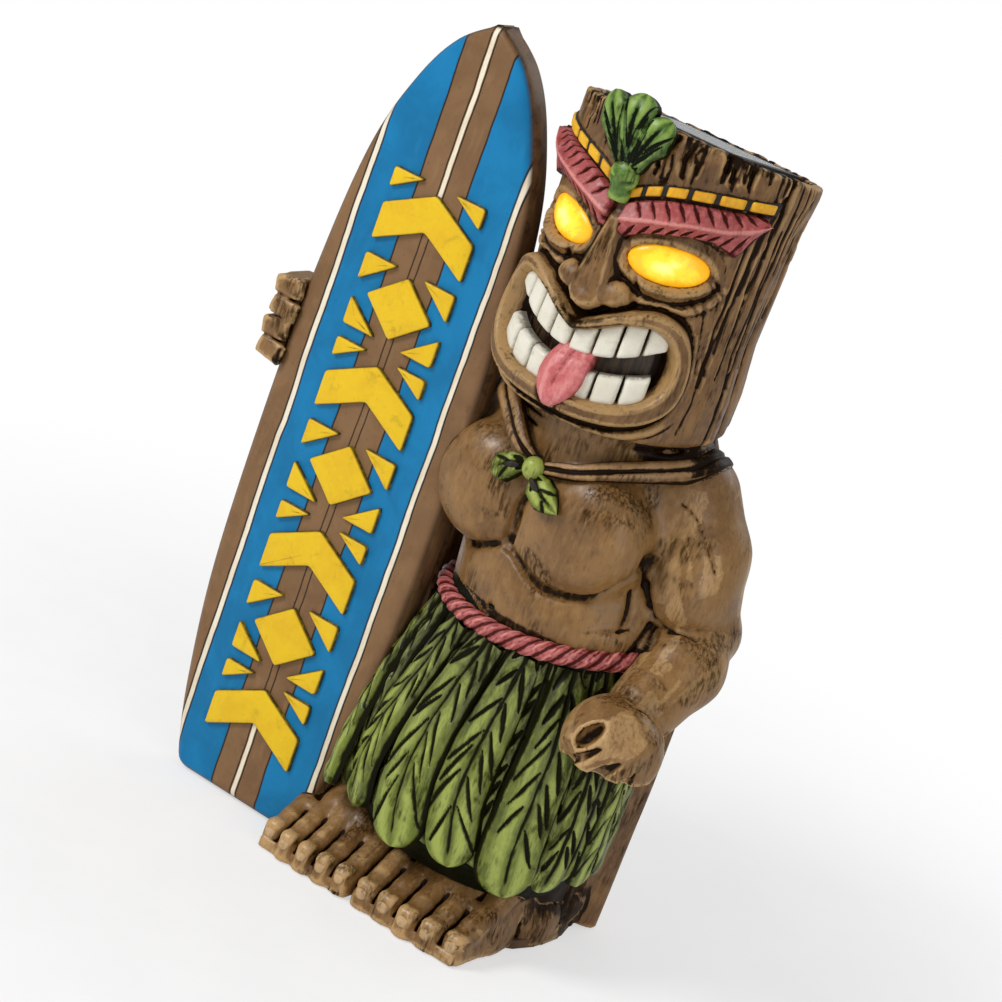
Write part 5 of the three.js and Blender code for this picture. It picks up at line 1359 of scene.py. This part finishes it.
    # painted shade: darker in the armpit, on the neck under the head, and on the body below the rope
    armpit_shade = np.exp(-np.sum(((points - [50, -20, 178]) / [9, 14, 10]) ** 2, 1))
    neck_shade = step_up(z, 210, 222) * (np.abs(x) < 46)
    waist = 0.5 * step_up(128.5 - z + 0.1 * x, 0, 6) * (1 - arm)
    wash = np.clip(wash + 0.5 * armpit_shade + 0.45 * neck_shade + waist, 0, 1)
    piece("torso_and_arm", points + FIGURE, quads, SKIN, wash, ridge, replaces=["figure_casting"])


def cape():
    low, high = node_box("battery_box")
    clay = Clay((-66, -50, -2), (68, 66, 232), 1.1, FIGURE)
    clay.add(ovals([(0, 3, 34, 53, 27.2), (70, 4, 34, 53.6, 27.2), (145, 4, 31.5, 54.0, 29.6),
                    (176, 3, 27, 53, 32), (196, 1, 21, 50.5, 32), (208, 0, 13, 47, 34), (217, 0, 8, 42, 34),
                    (228, 0, 4, 38, 32)], 3.2))
    clay.add(brick((-52, 18, 98), (8.5, 13, 100), 7), 7)
    clay.groove([(-52, 36, 190), (-54, 35, 120), (-52, 36, 10)], 1.6, 2)
    x, y, z = clay.everywhere()
    angle = np.arctan2(y - 20, x - 3)
    fold = 1.25 * np.sin(angle * 11 + 0.8 * np.sin(z / 40)) + 0.8 * np.sin(angle * 23 + 1.3 + z / 60)
    behind = step_up(y, 14, 26) * (1 - 0.5 * step_up(z, 185, 215))
    middle = np.exp(-((x - 4) / 33.0) ** 8) * np.exp(-((z - 98) / 54.0) ** 8)
    clay.d = (clay.d + (fold + 1.2) * behind * (1 - middle) * 0.9).astype(np.float32)
    # long folds down the cape's two front edges, and lighter ones round the throat
    for path in ([(54, 2, 205), (58, 10, 190), (57.6, 14, 150), (56.6, 13, 90), (55.4, 12, 4)],
                 [(55.5, 22, 205), (59, 26, 160), (58, 27, 90), (57, 26, 4)],
                 [(-54, 12, 200), (-51, 16, 150), (-50, 16, 90), (-49, 14, 10)]):
        clay.groove(path, 1.1, 1.0)
    for height in (206, 213):
        clay.groove([(46, -6, height), (50, 12, height), (44, 34, height - 2), (20, 46, height - 4),
                     (-10, 46, height - 4), (-40, 34, height - 2), (-48, 10, height)], 0.9, 1)
    # the battery compartment's seat in the back
    a, b = low - FIGURE, high - FIGURE
    half = (b - a) / 2
    middle = (a + b) / 2
    clay.carve(brick((middle[0], 75.1, middle[2]), (half[0] + 0.5, 20, half[2] + 0.5), 0.4))
    clay.carve(brick((middle[0], (a[1] + 55) / 2, middle[2]),
                     (half[0] - 4.6, (56 - a[1]) / 2 + 0.6, half[2] - 4.6), 0.4))
    clay.carve(brick((9, -28, 96), (60, 42, 88), 6))
    points, quads, wash, ridge = clay.mesh()
    near_seat = ((np.abs(points[:, 0] - middle[0]) < half[0] + 4)
                 * (np.abs(points[:, 2] - middle[2]) < half[2] + 4)
                 * (points[:, 1] > 40))
    points, edge, shade = chisel(points, quads, 24, 0.8, 1.0 - near_seat, 21)
    points[:, 2] = np.maximum(points[:, 2], FLOOR_GAP)
    # 0.1 * shade paints some chiselled planes lighter: painted light on facets
    piece("cape", points + FIGURE, quads, CAPE, wash, np.clip(ridge + 0.3 * edge + 0.1 * shade, 0, 1))


def collar():
    """The cape's two front corners, folded and drawn in under the bow."""
    right = [(1, -43.4, 199.6), (8, -43.5, 202), (17, -42.5, 205), (29, -36.5, 210.5), (40, -26.5, 215),
             (48.5, -12.5, 218.5), (50.5, 0, 222.5), (47, 14, 220.5), (40, 24, 214)]
    out = [(0, -1, 0.25), (0.1, -1, 0.3), (0.25, -1, 0.35), (0.5, -1, 0.4), (0.5, -0.8, 0.5),
           (0.4, -0.6, 0.75), (0.35, -0.1, 0.9), (0.25, 0.5, 0.8), (0.2, 0.9, 0.5)]
    halves = [(0, 2.8), (0.2, 4.0), (0.5, 4.8), (0.8, 5.6), (1, 6)]
    leaf("collar_right", [FIGURE + p for p in right], out, halves, 0, CAPE, crown=2.1, rows=90, columns=25,
         rib=0.9, seed=71, turn_in=2.6)
    left = [(-1, -43.4, 201), (-6, -43.4, 202), (-12, -42.3, 204.5), (-19, -39.5, 209.5), (-27, -34, 215),
            (-36, -24, 219), (-42, -8, 220)]
    back = [(0, -1, 0.2), (-0.1, -1, 0.3), (-0.25, -1, 0.4), (-0.45, -1, 0.4), (-0.6, -1, 0.5),
            (-0.8, -0.7, 0.6), (-1, -0.3, 0.6)]
    halves = [(0, 2.6), (0.25, 4.6), (0.5, 5.6), (0.8, 6), (1, 6)]
    leaf("collar_left", [FIGURE + p for p in left], back, halves, 0, CAPE, crown=2.1, rows=90, columns=25,
         rib=0.9, seed=72, turn_in=2.6)


def legs():
    clay = Clay((-50, -42, -1), (66, 50, 60), 1.6, FIGURE)
    clay.add(ovals([(0.4, 4, 8, 47, 34), (60, 7, 4, 47, 34)], 2.4))
    points, quads, wash, ridge = clay.mesh()
    points[:, 2] = np.maximum(points[:, 2], FLOOR_GAP)
    # the legs are darkened all over (wash + 0.4): painted shade under the skirt
    piece("legs", points + FIGURE, quads, CAPE, np.clip(wash + 0.4, 0, 1), ridge)


def toe_back(i, middle):
    """How far the toe numbered i ends behind the middle one, on the foot that stands at middle."""
    return 0.7 * abs(i - 2) ** 1.6 * (1.6 if (i == 0) == (middle < 0) else 0.6)


def feet():
    """Two square-cut feet with long toes, on the rough ground between them."""
    clay = Clay((-64, -66, -1), (60, 44, 44), 0.72, FIGURE)
    slope = [(-61, 4), (-58.5, 12.5), (-52, 17), (-44, 21.5), (-36, 26), (-26, 31), (-8, 36)]
    for _, middle, pitch in FEET:
        half = 2.5 * pitch
        clay.add(brick((middle, -12, 9), (half - 1.5, 29, 12), 5), 3)
        clay.add(brick((middle, -42, 1), (half - 2, 16, 4), 1))
        for i in range(5):
            x = middle + (i - 2) * pitch
            back = toe_back(i, middle)
            path = [(x, y + 5.2 + back * step_up(-y, 20, 50), z - 5.2) for y, z in slope]
            clay.limb(path, [pitch * k for k in (0.43, 0.455, 0.47, 0.48, 0.5, 0.52, 0.54)], 0.5, 0.8)
            clay.add(brick((x, -49 + back, 5.5), (pitch * 0.445, 11.2, 7.5), 3.6), 0.8)
        for i in range(4):
            x = middle + (i - 1.5) * pitch
            path = [(x, -37, 25.0), (x, -44, 20.6), (x, -52, 15.2), (x, -58.5, 8.5), (x, -61, 0)]
            clay.groove(path, [0.5, 1.2, 1.6, 1.8, 1.8], 0.6)
    # the instep, the rough side of the right foot and the heel
    clay.add(oval_blob((-30, -8, 14), (27, 32, 22)), 4)
    clay.add(oval_blob((22, -6, 14), (29, 34, 23)), 4)
    clay.add(brick((26, -2, 8), (22, 34, 10), 5), 5)
    clay.add(oval_blob((44, -28, 7), (7.5, 14, 9)), 3)
    clay.add(oval_blob((45.5, 4, 9), (10, 16, 12)), 3)
    clay.add(oval_blob((43, 26, 12), (11, 14, 13)), 3)
    clay.add(ovals([(-1, 6, 9, 49.4, 49.4), (5.4, 6, 9, 49.0, 49.0), (7.0, 6, 9, 47.5, 47.5)]), 1.5)
    clay.carve(brick((-20, 60, 5), (66, 36, 30), 1))
    clay.groove([(50, -12, 0), (51, -14, 8), (46, -16, 17)], 1.5, 1.5)
    clay.groove([(51, 15, 0), (52, 14, 10), (48, 12, 21)], 1.4, 1.5)
    for y, z in ((-31, 9), (-26, 11), (6, 15), (9, 8), (28, 12)):
        clay.groove([(51, y, z + 3), (52, y + 1.5, z - 1), (51.5, y + 1, z - 5)], 0.9, 0.6)
    clay.groove([(-7.2, -66, 2), (-7.2, -58, 8), (-7.0, -48, 15), (-6.8, -38, 24), (-6.5, -30, 30)],
                [3.0, 2.8, 2.4, 2.0, 1.2], 1.2)
    clay.carve(brick((0, 0, -20.2), (200, 200, 20.6), 0.2))
    points, quads, wash, ridge = clay.mesh()
    points, edge, shade = chisel(points, quads, 9, 0.8, 1 - np.clip(1.4 * wash, 0, 1), 31)
    points[:, 2] = np.maximum(points[:, 2], FLOOR_GAP)
    # painted light on some chiselled planes (shade), and painted shade towards the top, where the feet pass
    # under the skirt's hem
    ridge = np.clip(ridge + 0.6 * edge + 0.35 * step_up(shade, 0.5, 0.8) * (1 - wash), 0, 1)
    wash = np.clip(wash + 0.5 * step_up(points[:, 2], 27, 33), 0, 1)
    piece("feet", points + FIGURE, quads, SKIN, wash, ridge)
    for word, middle, pitch in FEET:
        for i in range(5):
            back = toe_back(i, middle)
            centre = np.array([middle + (i - 2) * pitch, -60.4 + back, 8.6])
            nail(f"toenail_{word}_{i + 1}", centre, pitch * 0.3)


def nail(name, centre, half):
    """A rounded nail that lies back on its toe, with its quick in a dark ring."""
    columns, rows = 15, 15
    s, t = np.meshgrid(np.linspace(-1, 1, columns), np.linspace(-1, 1, rows), indexing="ij")
    reach = np.sqrt(s ** 2 + t ** 2 + 1e-9)
    square = np.maximum(np.abs(s), np.abs(t))
    pull = square / reach * 0.65 + 0.35
    S, T = s * pull, t * pull
    crown = np.clip(1 - square ** 5, 0, 1) ** 0.5
    x = centre[0] + half * S
    z = centre[2] + half * 1.3 * T
    y = centre[1] + 0.8 - 1.5 * crown + 0.7 * S ** 2 + 1.75 * (T + 0.15) * (T > -0.15)
    points = np.stack([x, y, z], -1).reshape(-1, 3) + FIGURE
    ring = np.clip(2.0 * (square - 0.7), 0, 0.5)
    piece(name, points, grid_faces(columns, rows), NAIL, ring.ravel(), (0.7 * crown * (1 - ring)).ravel())


def gripping_arm():
    clay = Clay((-154, -46, 170), (-40, 26, 250), 0.95, FIGURE)
    rail = BOARD_X - BOARD_W - FIGURE[0]
    front = BOARD_FRONT - FIGURE[1]
    back = front + BOARD_T
    clay.limb([(-46, 5, 202), (-84, 4, 193), (rail + 4, back + 12, GRIP_Z)], [19, 16, 13.5], 2, 4)
    clay.add(brick((rail + 4, back + 10, GRIP_Z), (11, 7, 18), 6), 4)
    for i in range(4):
        z = GRIP_Z + (i - 1.5) * FINGER_PITCH
        lean = lean_by(0.16 * (-1) ** i)
        reach = 0.9 * (i % 2)
        clay.add(brick((rail - 3.0 - reach, front + 2.2, z), (6.7, 5.2, 4.3), 1.3, lean), 0.3)
        clay.add(brick((rail - 6.2, front + 11, z), (4.4, 8, 4.4), 1.8), 0.8)
    clay.limb([(rail + 6, back + 8, 214), (rail + 11, back + 6, 222), (rail + 22, back + 5, 227)],
              [7, 6.6, 5.8], 2, 2)
    for i in range(3):
        z = GRIP_Z + (i - 1) * FINGER_PITCH
        clay.groove([(rail - 2, back + 14, z), (rail - 10, back + 5, z), (rail - 11, front + 6, z),
                     (rail - 10, front - 2, z), (rail + 4, front - 4, z + 0.6)], 0.9, 0.3)
    clay.carve(brick((rail + 60, (front + back) / 2, 200), (60.2, BOARD_T / 2 + 0.2, 80), 3.5))
    points, quads, wash, ridge = clay.mesh()
    points, edge, shade = chisel(points, quads, 6.5, 0.8, 1 - np.clip(1.2 * wash, 0, 1), 41)
    # 0.15 * shade paints some chiselled planes lighter: painted light on facets
    ridge = np.clip(ridge + 0.5 * edge + 0.15 * shade, 0, 1)
    piece("gripping_arm", points + FIGURE, quads, SKIN, wash, ridge)


# ------------------------------------------------------------------ leaves, rope and bow


def leaf(name, middle, normals, half, veins, material, crown=2.2, rows=120, columns=27, cut=1.0, tone=None,
         rib=0.6, seed=0, turn_in=2.4, slope=1.5, scallop=0.0, broad=0.85):
    """A carved leaf or fold: a crowned strip with a mid rib and slanted nicks that run towards its tip."""
    rng = np.random.default_rng(seed)
    steps = max(4, rows // (len(middle) - 1))
    path = spline(middle, steps)
    up = spline(normals, steps)
    up /= np.linalg.norm(up, axis=1)[:, None]
    run = np.concatenate([[0], np.cumsum(np.linalg.norm(np.diff(path, axis=0), axis=1))])
    length = run[-1]
    tangent = np.gradient(path, axis=0)
    tangent /= np.linalg.norm(tangent, axis=1)[:, None]
    across = np.cross(tangent, up)
    across /= np.linalg.norm(across, axis=1)[:, None]
    shares, halves = [p[0] for p in half], [p[1] for p in half]
    width = np.interp(run / length, shares, halves)
    tip = width.max()
    near_tip = np.clip((length - run) / tip, 0, 1)
    width = width * np.sqrt(np.clip(1 - (1 - near_tip) ** 2.4, 0.0006, 1))
    s = np.linspace(-1, 1, columns)
    s = np.sign(s) * (1 - (1 - np.abs(s)) ** 1.25)
    A, S = np.meshgrid(run, s, indexing="ij")
    off = S * width[:, None]
    lift = crown * np.sqrt(np.clip(1 - S ** 2, 0, 1)) * np.clip(width[:, None] / tip, 0.25, 1)
    nick = np.zeros(A.shape)
    pitch = length / max(veins, 1)
    for side in (-1, 1):
        for i in range(veins + 1 if veins else 0):
            a0 = (i + rng.uniform(-0.3, 0.3)) * pitch - 0.35 * pitch
            wide = np.interp(a0 / length, shares, halves)
            start, stop = rng.uniform(0.10, 0.24) * wide, rng.uniform(0.66, 0.96) * wide
            p0 = np.array([a0, side * start])
            p1 = np.array([a0 + (stop - start) * slope * rng.uniform(0.85, 1.25), side * stop])
            if p1[0] > length - 1.5:
                continue
            e = p1 - p0
            k = np.clip(((A - p0[0]) * e[0] + (off - p0[1]) * e[1]) / (e @ e), 0, 1)
            gap = np.hypot(A - p0[0] - k * e[0], off - p0[1] - k * e[1])
            swell = np.sin(np.pi * np.clip(k * 0.9 + 0.08, 0, 1))
            thick = broad * (0.3 + 0.8 * swell) * rng.uniform(0.8, 1.15)
            nick = np.maximum(nick, np.exp(-(gap / thick) ** 2) * rng.uniform(0.75, 1.0))
    centre_line = np.exp(-(off / 0.75) ** 2) * step_up(length - A, 2, 9)
    edge_fall = step_up(np.abs(S), 0.84, 1.0)
    lift = lift - cut * nick - rib * centre_line - turn_in * edge_fall
    lift += 0.25 * np.sin(A / 3.1 + 2 * S + seed) * (1 - edge_fall)
    ragged = 1 + scallop * np.sin(A / 2.2 + seed) * step_up(np.abs(S), 0.5, 1)
    sideways = across[:, None, :] * (off * ragged)[..., None]
    points = path[:, None, :] + sideways + up[:, None, :] * lift[..., None]
    wash = np.clip(1.2 * nick + 0.95 * centre_line + 1.1 * step_up(np.abs(S), 0.86, 0.97), 0, 1)
    ridge = np.clip(0.75 * bump_at(np.abs(S) - 0.42, 0.30) * (1 - nick), 0, 1)
    shade = 0 * A
    if tone is not None:
        shade = np.interp(A / length, [p[0] for p in tone], [p[1] for p in tone])
        ridge = ridge * (1 - 0.5 * shade)
    faces = grid_faces(len(path), columns)
    return piece(name, points.reshape(-1, 3), faces[:, ::-1], material, wash.ravel(), ridge.ravel(),
                 shade.ravel())


def waist_z(x):
    return 129.3 + 0.002 * (x + 10) ** 2


# Each leaf's mid rib from the waist to its tip, half width at waist, middle and hem, nick pairs, and
# how far its layer stands out.
SKIRT_LEAVES = (
    ("back_1", ((-36, -10, 125), (-39, -11, 95), (-41, -12, 62), (-41.5, -12, 34)), (5, 8, 9), 8, 0.0),
    ("back_2", ((-25, -32, 126), (-33, -36, 95), (-36.5, -38.5, 65), (-37, -40, 36)), (4.5, 7, 8), 8, -1.0),
    ("back_3", ((-1, -42.5, 126), (-8, -45.5, 98), (-11.5, -48, 66), (-12, -50, 38)), (6, 8, 8.5), 8, -1.2),
    ("back_4", ((16, -43.2, 127), (13.5, -47.5, 104), (12, -51, 74), (15, -53, 38)), (6, 9, 9.5), 8, -1.6),
    ("back_5", ((33, -38.5, 128), (35.5, -43, 100), (35.5, -46.5, 70), (38, -47.5, 38)), (6, 8, 8.5),
     8, -1.6),
    ("back_6", ((47, -29.5, 131), (52.5, -30.5, 100), (54.5, -33.5, 66), (54, -34.5, 36)), (5, 7.5, 8),
     8, -1.2),
    ("back_7", ((56, -16, 134), (60.5, -15, 100), (61.5, -16, 66), (60, -16, 37)), (6, 8, 8.5), 8, -1.0),
    ("side_1", ((59, 4, 136), (62, 7, 100), (62.5, 9, 66), (61.5, 10, 36)), (6, 9, 9.5), 8, -0.4),
    ("front_1", ((-31, -26, 126), (-37, -33.5, 95), (-40.5, -39.5, 64), (-41.2, -43.5, 34.5)), (5, 7, 7.5),
     8, 0.6),
    ("front_2", ((-11, -41, 126), (-17, -43, 101), (-23.5, -44.5, 78), (-26.8, -46, 54), (-24, -47, 33.5)),
     (7, 10, 11), 8, 0.4),
    ("front_4", ((24.3, -42.6, 127), (23.6, -47.2, 108), (22, -51, 83), (22.6, -53.3, 62),
                 (28.5, -53.3, 35.5)),
     (7.5, 11.5, 12), 8, 0.2),
    ("front_6", ((51, -27, 132), (57, -24.5, 95), (59, -25.5, 62), (57.5, -26.5, 34)), (5, 7.5, 8.5), 7, 0.6),
    ("front_7", ((58, -7, 135), (62.4, -3.5, 95), (63.2, -4, 62), (61.8, -4.5, 34.5)), (6, 9, 9.5), 7, 0.8),
    ("front_3", ((7, -43.8, 126), (3, -47.8, 105), (-0.8, -51, 81), (-1.2, -53.6, 58), (3.6, -55.2, 31.5)),
     (8.5, 12.5, 14.2), 8, 1.6),
    ("front_5", ((41.5, -34.4, 129), (45.6, -37.6, 99), (46.6, -40.3, 74), (47, -41.8, 50), (49.5, -41, 31)),
     (8, 12.5, 13.5), 8, 1.6),
)


FRONT_TONE = [(0, 0.9), (0.25, 0.6), (0.55, 0.15), (1, 0.0)]      # how shaded a leaf is along its length
BACK_TONE = [(0, 1.0), (0.5, 0.8), (1, 0.4)]


def skirt():
    clay = Clay((-50, -58, 22), (80, 46, 142), 1.7, FIGURE)
    clay.add(ovals([(24, 9, -5, 43, 36), (36, 10, -5, 48.5, 45.5), (95, 11.5, -4.5, 46.5, 41),
                    (138, 12, -3, 47, 38)],
                   2.3))
    clay.carve(brick((0, 80, 80), (120, 56, 120), 1))
    points, quads, wash, ridge = clay.mesh()
    # the lining between and under the leaves is darkened all over: painted shade
    piece("skirt_lining", points + FIGURE, quads, LEAF_DARK, np.clip(wash + 0.85, 0, 1), 0 * ridge)
    for index, (word, rib, halves, veins, depth) in enumerate(SKIRT_LEAVES):
        outward = [np.array([(x - 11) / 1.15, y + 4, 4.5]) for x, y, _ in rib]
        outward = [n / np.linalg.norm(n) for n in outward]
        middle = [FIGURE + np.array(p) + depth * n * min(1, k + 0.3)
                  for k, (p, n) in enumerate(zip(rib, outward))]
        widths = [(0, halves[0]), (0.45, halves[1]), (0.85, halves[2]), (1, halves[2] * 0.92)]
        leaf(f"skirt_leaf_{word}", middle, outward, widths, veins, LEAF, crown=2.8,
             tone=FRONT_TONE if depth > 0 else BACK_TONE, seed=index + 1, cut=1.6, slope=2.3, rib=1.0,
             rows=190, columns=41, broad=0.85)


def rope():
    turns, sides, strands, twists = 640, 30, 3, 14
    a = np.linspace(0, 2 * np.pi, turns, endpoint=False)
    x = WAIST_X + WAIST_HALF_X * np.cos(a)
    y = WAIST_Y + WAIST_HALF_Y * np.sin(a)
    centre = np.column_stack([x, y, waist_z(x)])
    tangent = np.roll(centre, -1, 0) - np.roll(centre, 1, 0)
    tangent /= np.linalg.norm(tangent, axis=1)[:, None]
    out = np.column_stack([np.cos(a) / WAIST_HALF_X, np.sin(a) / WAIST_HALF_Y, 0 * a])
    out /= np.linalg.norm(out, axis=1)[:, None]
    up = np.cross(tangent, out)
    run = np.cumsum(np.linalg.norm(np.roll(centre, -1, 0) - centre, axis=1))
    run = run / run[-1] * 2 * np.pi * twists
    b = np.linspace(0, 2 * np.pi, sides, endpoint=False)
    phase = strands * (b[None, :] + run[:, None])
    swell = np.abs(np.sin(phase / 2))
    hair = np.sin(2.5 * phase + 0.6 * np.sin(5 * run[:, None]))
    r = ROPE_R * (0.84 + 0.24 * swell ** 0.7 + 0.02 * hair)
    points = (centre[:, None, :] + out[:, None, :] * (r * np.cos(b)[None, :])[..., None]
              + up[:, None, :] * (r * np.sin(b)[None, :] * 1.04)[..., None])
    faces = grid_faces(turns, sides, True)
    last = (turns - 1) * sides
    wrap = np.array([(last + i, last + (i + 1) % sides, (i + 1) % sides, i) for i in range(sides)])
    wash = np.clip(step_up(1 - swell, 0.5, 0.9) + 0.35 * step_up(-hair, 0.5, 1.0), 0, 1)
    piece("waist_rope", points.reshape(-1, 3) + FIGURE, np.concatenate([faces, wrap])[:, ::-1], CRIMSON,
          wash.ravel(), (0.8 * swell ** 3 * (0.6 + 0.4 * hair)).ravel())


def bow():
    clay = Clay((-10, -56, 188), (10, -34, 208), 0.6, FIGURE)
    clay.add(oval_blob((-1.4, -44.6, 198.2), (4.6, 4.4, 5.0)))
    clay.groove([(-3.5, -50, 203), (-2.2, -49.6, 198), (-3.5, -49, 193)], 0.6)
    clay.groove([(0.6, -50, 203), (-0.2, -49.8, 198), (0.6, -49, 193)], 0.6)
    clay.make("bow_knot", LEAF)
    left = [FIGURE + p for p in ((-3, -44.6, 198), (-8, -46, 197.5), (-13.5, -46.2, 194),
                                 (-18.2, -45, 189.6))]
    right = [FIGURE + p for p in ((0, -44.8, 196.5), (4.5, -47.6, 193.6), (10, -49, 190.6),
                                  (17.4, -48.6, 187.2))]
    leaf("bow_leaf_left", left, [(-0.1, -1, 0.2), (-0.1, -1, 0.3), (-0.3, -1, 0.2), (-0.5, -1, 0.1)],
         [(0, 2.0), (0.35, 5.2), (0.7, 6.4), (1, 5)], 4, LEAF, crown=2.6, rows=60, columns=27, rib=1.2,
         seed=91, turn_in=2.8)
    leaf("bow_leaf_right", right, [(0, -1, 0.2), (0.1, -1, 0.3), (0.2, -1, 0.3), (0.4, -1, 0.2)],
         [(0, 2.0), (0.3, 6.0), (0.6, 6.2), (0.88, 3.2), (1, 0.8)],
         4, LEAF, crown=2.6, rows=60, columns=27, rib=1.2, seed=92, turn_in=2.8)
    # black ovals in the bow's two loops: painted shade where the loops open
    for word, centre, lean in (("left", (-9.5, -48.0, 196.6), 1.15), ("right", (4.2, -50.4, 194.0), -0.9)):
        slit = Clay(np.array(centre) - 6, np.array(centre) + 6, 0.5, FIGURE)
        slit.add(oval_blob(centre, (1.5, 1.0, 3.6), lean_by(lean)))
        slit.make(f"bow_opening_{word}", BLACK)


def tuft():
    """Three broad crinkled leaves tied on the brow."""
    root = np.array([-1.0, -52.0, 99.0])
    front = -54.0
    lobes = (("left", (-15.5, front, 127.5), 7.0, 61), ("right", (11.5, front, 125), 7.6, 62),
             ("middle", (-2.2, front - 1.2, 130.8), 8.0, 63))
    for word, tip, wide, seed in lobes:
        tip = np.array(tip, float)
        lean = 0.35 * (tip - root)
        points = [root, root + lean + [0, -2.6, 0], root + 2.0 * lean + [0, -3.2, 0.6], tip]
        side = math.copysign(0.25, tip[0]) if word != "middle" else 0
        normals = [(side * 0.5, -1, 0), (side, -1, 0.05), (side, -1, 0.12), (side * 1.2, -1, 0.25)]
        leaf(f"tuft_leaf_{word}", [HEAD + p for p in points], normals,
             [(0, 3.0), (0.3, wide * 0.72), (0.6, wide), (0.85, wide * 0.95), (1, wide * 0.8)],
             9, TUFT, crown=2.8, rows=110, columns=45, rib=1.0, seed=seed, cut=0.9, slope=3.2, scallop=0.1,
             turn_in=3.2, broad=0.5, tone=[(0, 0.8), (0.4, 0.4), (0.8, 0)])
    clay = Clay((-14, -62, 88), (12, -44, 108), 0.6, HEAD)
    clay.add(oval_blob((-1, -52.4, 98.5), (6.2, 4.2, 6.4)))
    clay.add(oval_blob((-1, -51.4, 91.5), (4.6, 3.6, 5.4)), 1.5)
    clay.groove([(-7, -55, 103), (-1, -58, 97), (5, -55, 92)], 0.7)
    clay.groove([(-7, -55, 93), (-1, -58, 99), (5, -55, 104)], 0.7)
    clay.groove([(-7, -54, 97.5), (-1, -58, 95.0), (5, -54, 97.5)], 0.6)
    clay.make("tuft_tie", TUFT, replaces=["leaf_tuft"])


FEELER_MM = 9.0


def settle_wash_and_shade():
    """Antiquing, and painted shade standing in for ambient occlusion, gather wherever pieces crowd: short
    feelers from every point find what stands near.
    """
    darkened_paints = ("resin", "paint_leaf", "paint_crimson")
    things = [o for o in bpy.data.objects if o.type == "MESH" and "wash" in o.data.attributes
              and not o.name.startswith("toenail")]
    verts, faces, count = [], [], 0
    for thing in things:
        mesh = thing.data
        co = np.empty(len(mesh.vertices) * 3, np.float32)
        mesh.vertices.foreach_get("co", co)
        corners = np.empty(len(mesh.loops), np.int32)
        mesh.loops.foreach_get("vertex_index", corners)
        sides = mesh.polygons[0].loop_total
        verts.append(co.reshape(-1, 3) * 1000)
        faces.append(corners.reshape(-1, sides) + count)
        count += len(mesh.vertices)
    corners = [face for group in faces for face in group.tolist()]
    tree = BVHTree.FromPolygons(np.concatenate(verts).tolist(), corners)
    rng = np.random.default_rng(4)
    feelers = rng.normal(size=(9, 3))
    feelers /= np.linalg.norm(feelers, axis=1)[:, None]
    for thing, co in zip(things, verts):
        mesh = thing.data
        if not mesh.materials[0].name.startswith(darkened_paints):
            continue
        much = 0.45 if mesh.materials[0].name.startswith("paint") else 0.75
        normals = np.empty(len(mesh.vertices) * 3, np.float32)
        mesh.vertices.foreach_get("normal", normals)
        normals = normals.reshape(-1, 3)
        met = np.zeros(len(co))
        for i, (p, n) in enumerate(zip(co, normals)):
            start = Vector(p + 0.35 * n)
            for feeler in feelers:
                way = n * 1.15 + feeler
                hit = tree.ray_cast(start, Vector(way), FEELER_MM)
                if hit[3] is not None:
                    met[i] += 1 - hit[3] / FEELER_MM
        met /= len(feelers)
        wash = np.empty(len(co), np.float32)
        attribute = mesh.attributes["wash"].data
        attribute.foreach_get("value", wash)
        wash = np.clip(wash + much * step_up(met, 0.16, 0.62), 0, 1)
        attribute.foreach_set("value", wash.astype(np.float32))



for make in (surfboard, motifs, head, teeth, tongue, brows, bead_band, lenses, torso, cape, collar, legs,
             feet, gripping_arm, skirt, rope, bow, tuft, settle_wash_and_shade):
    make()
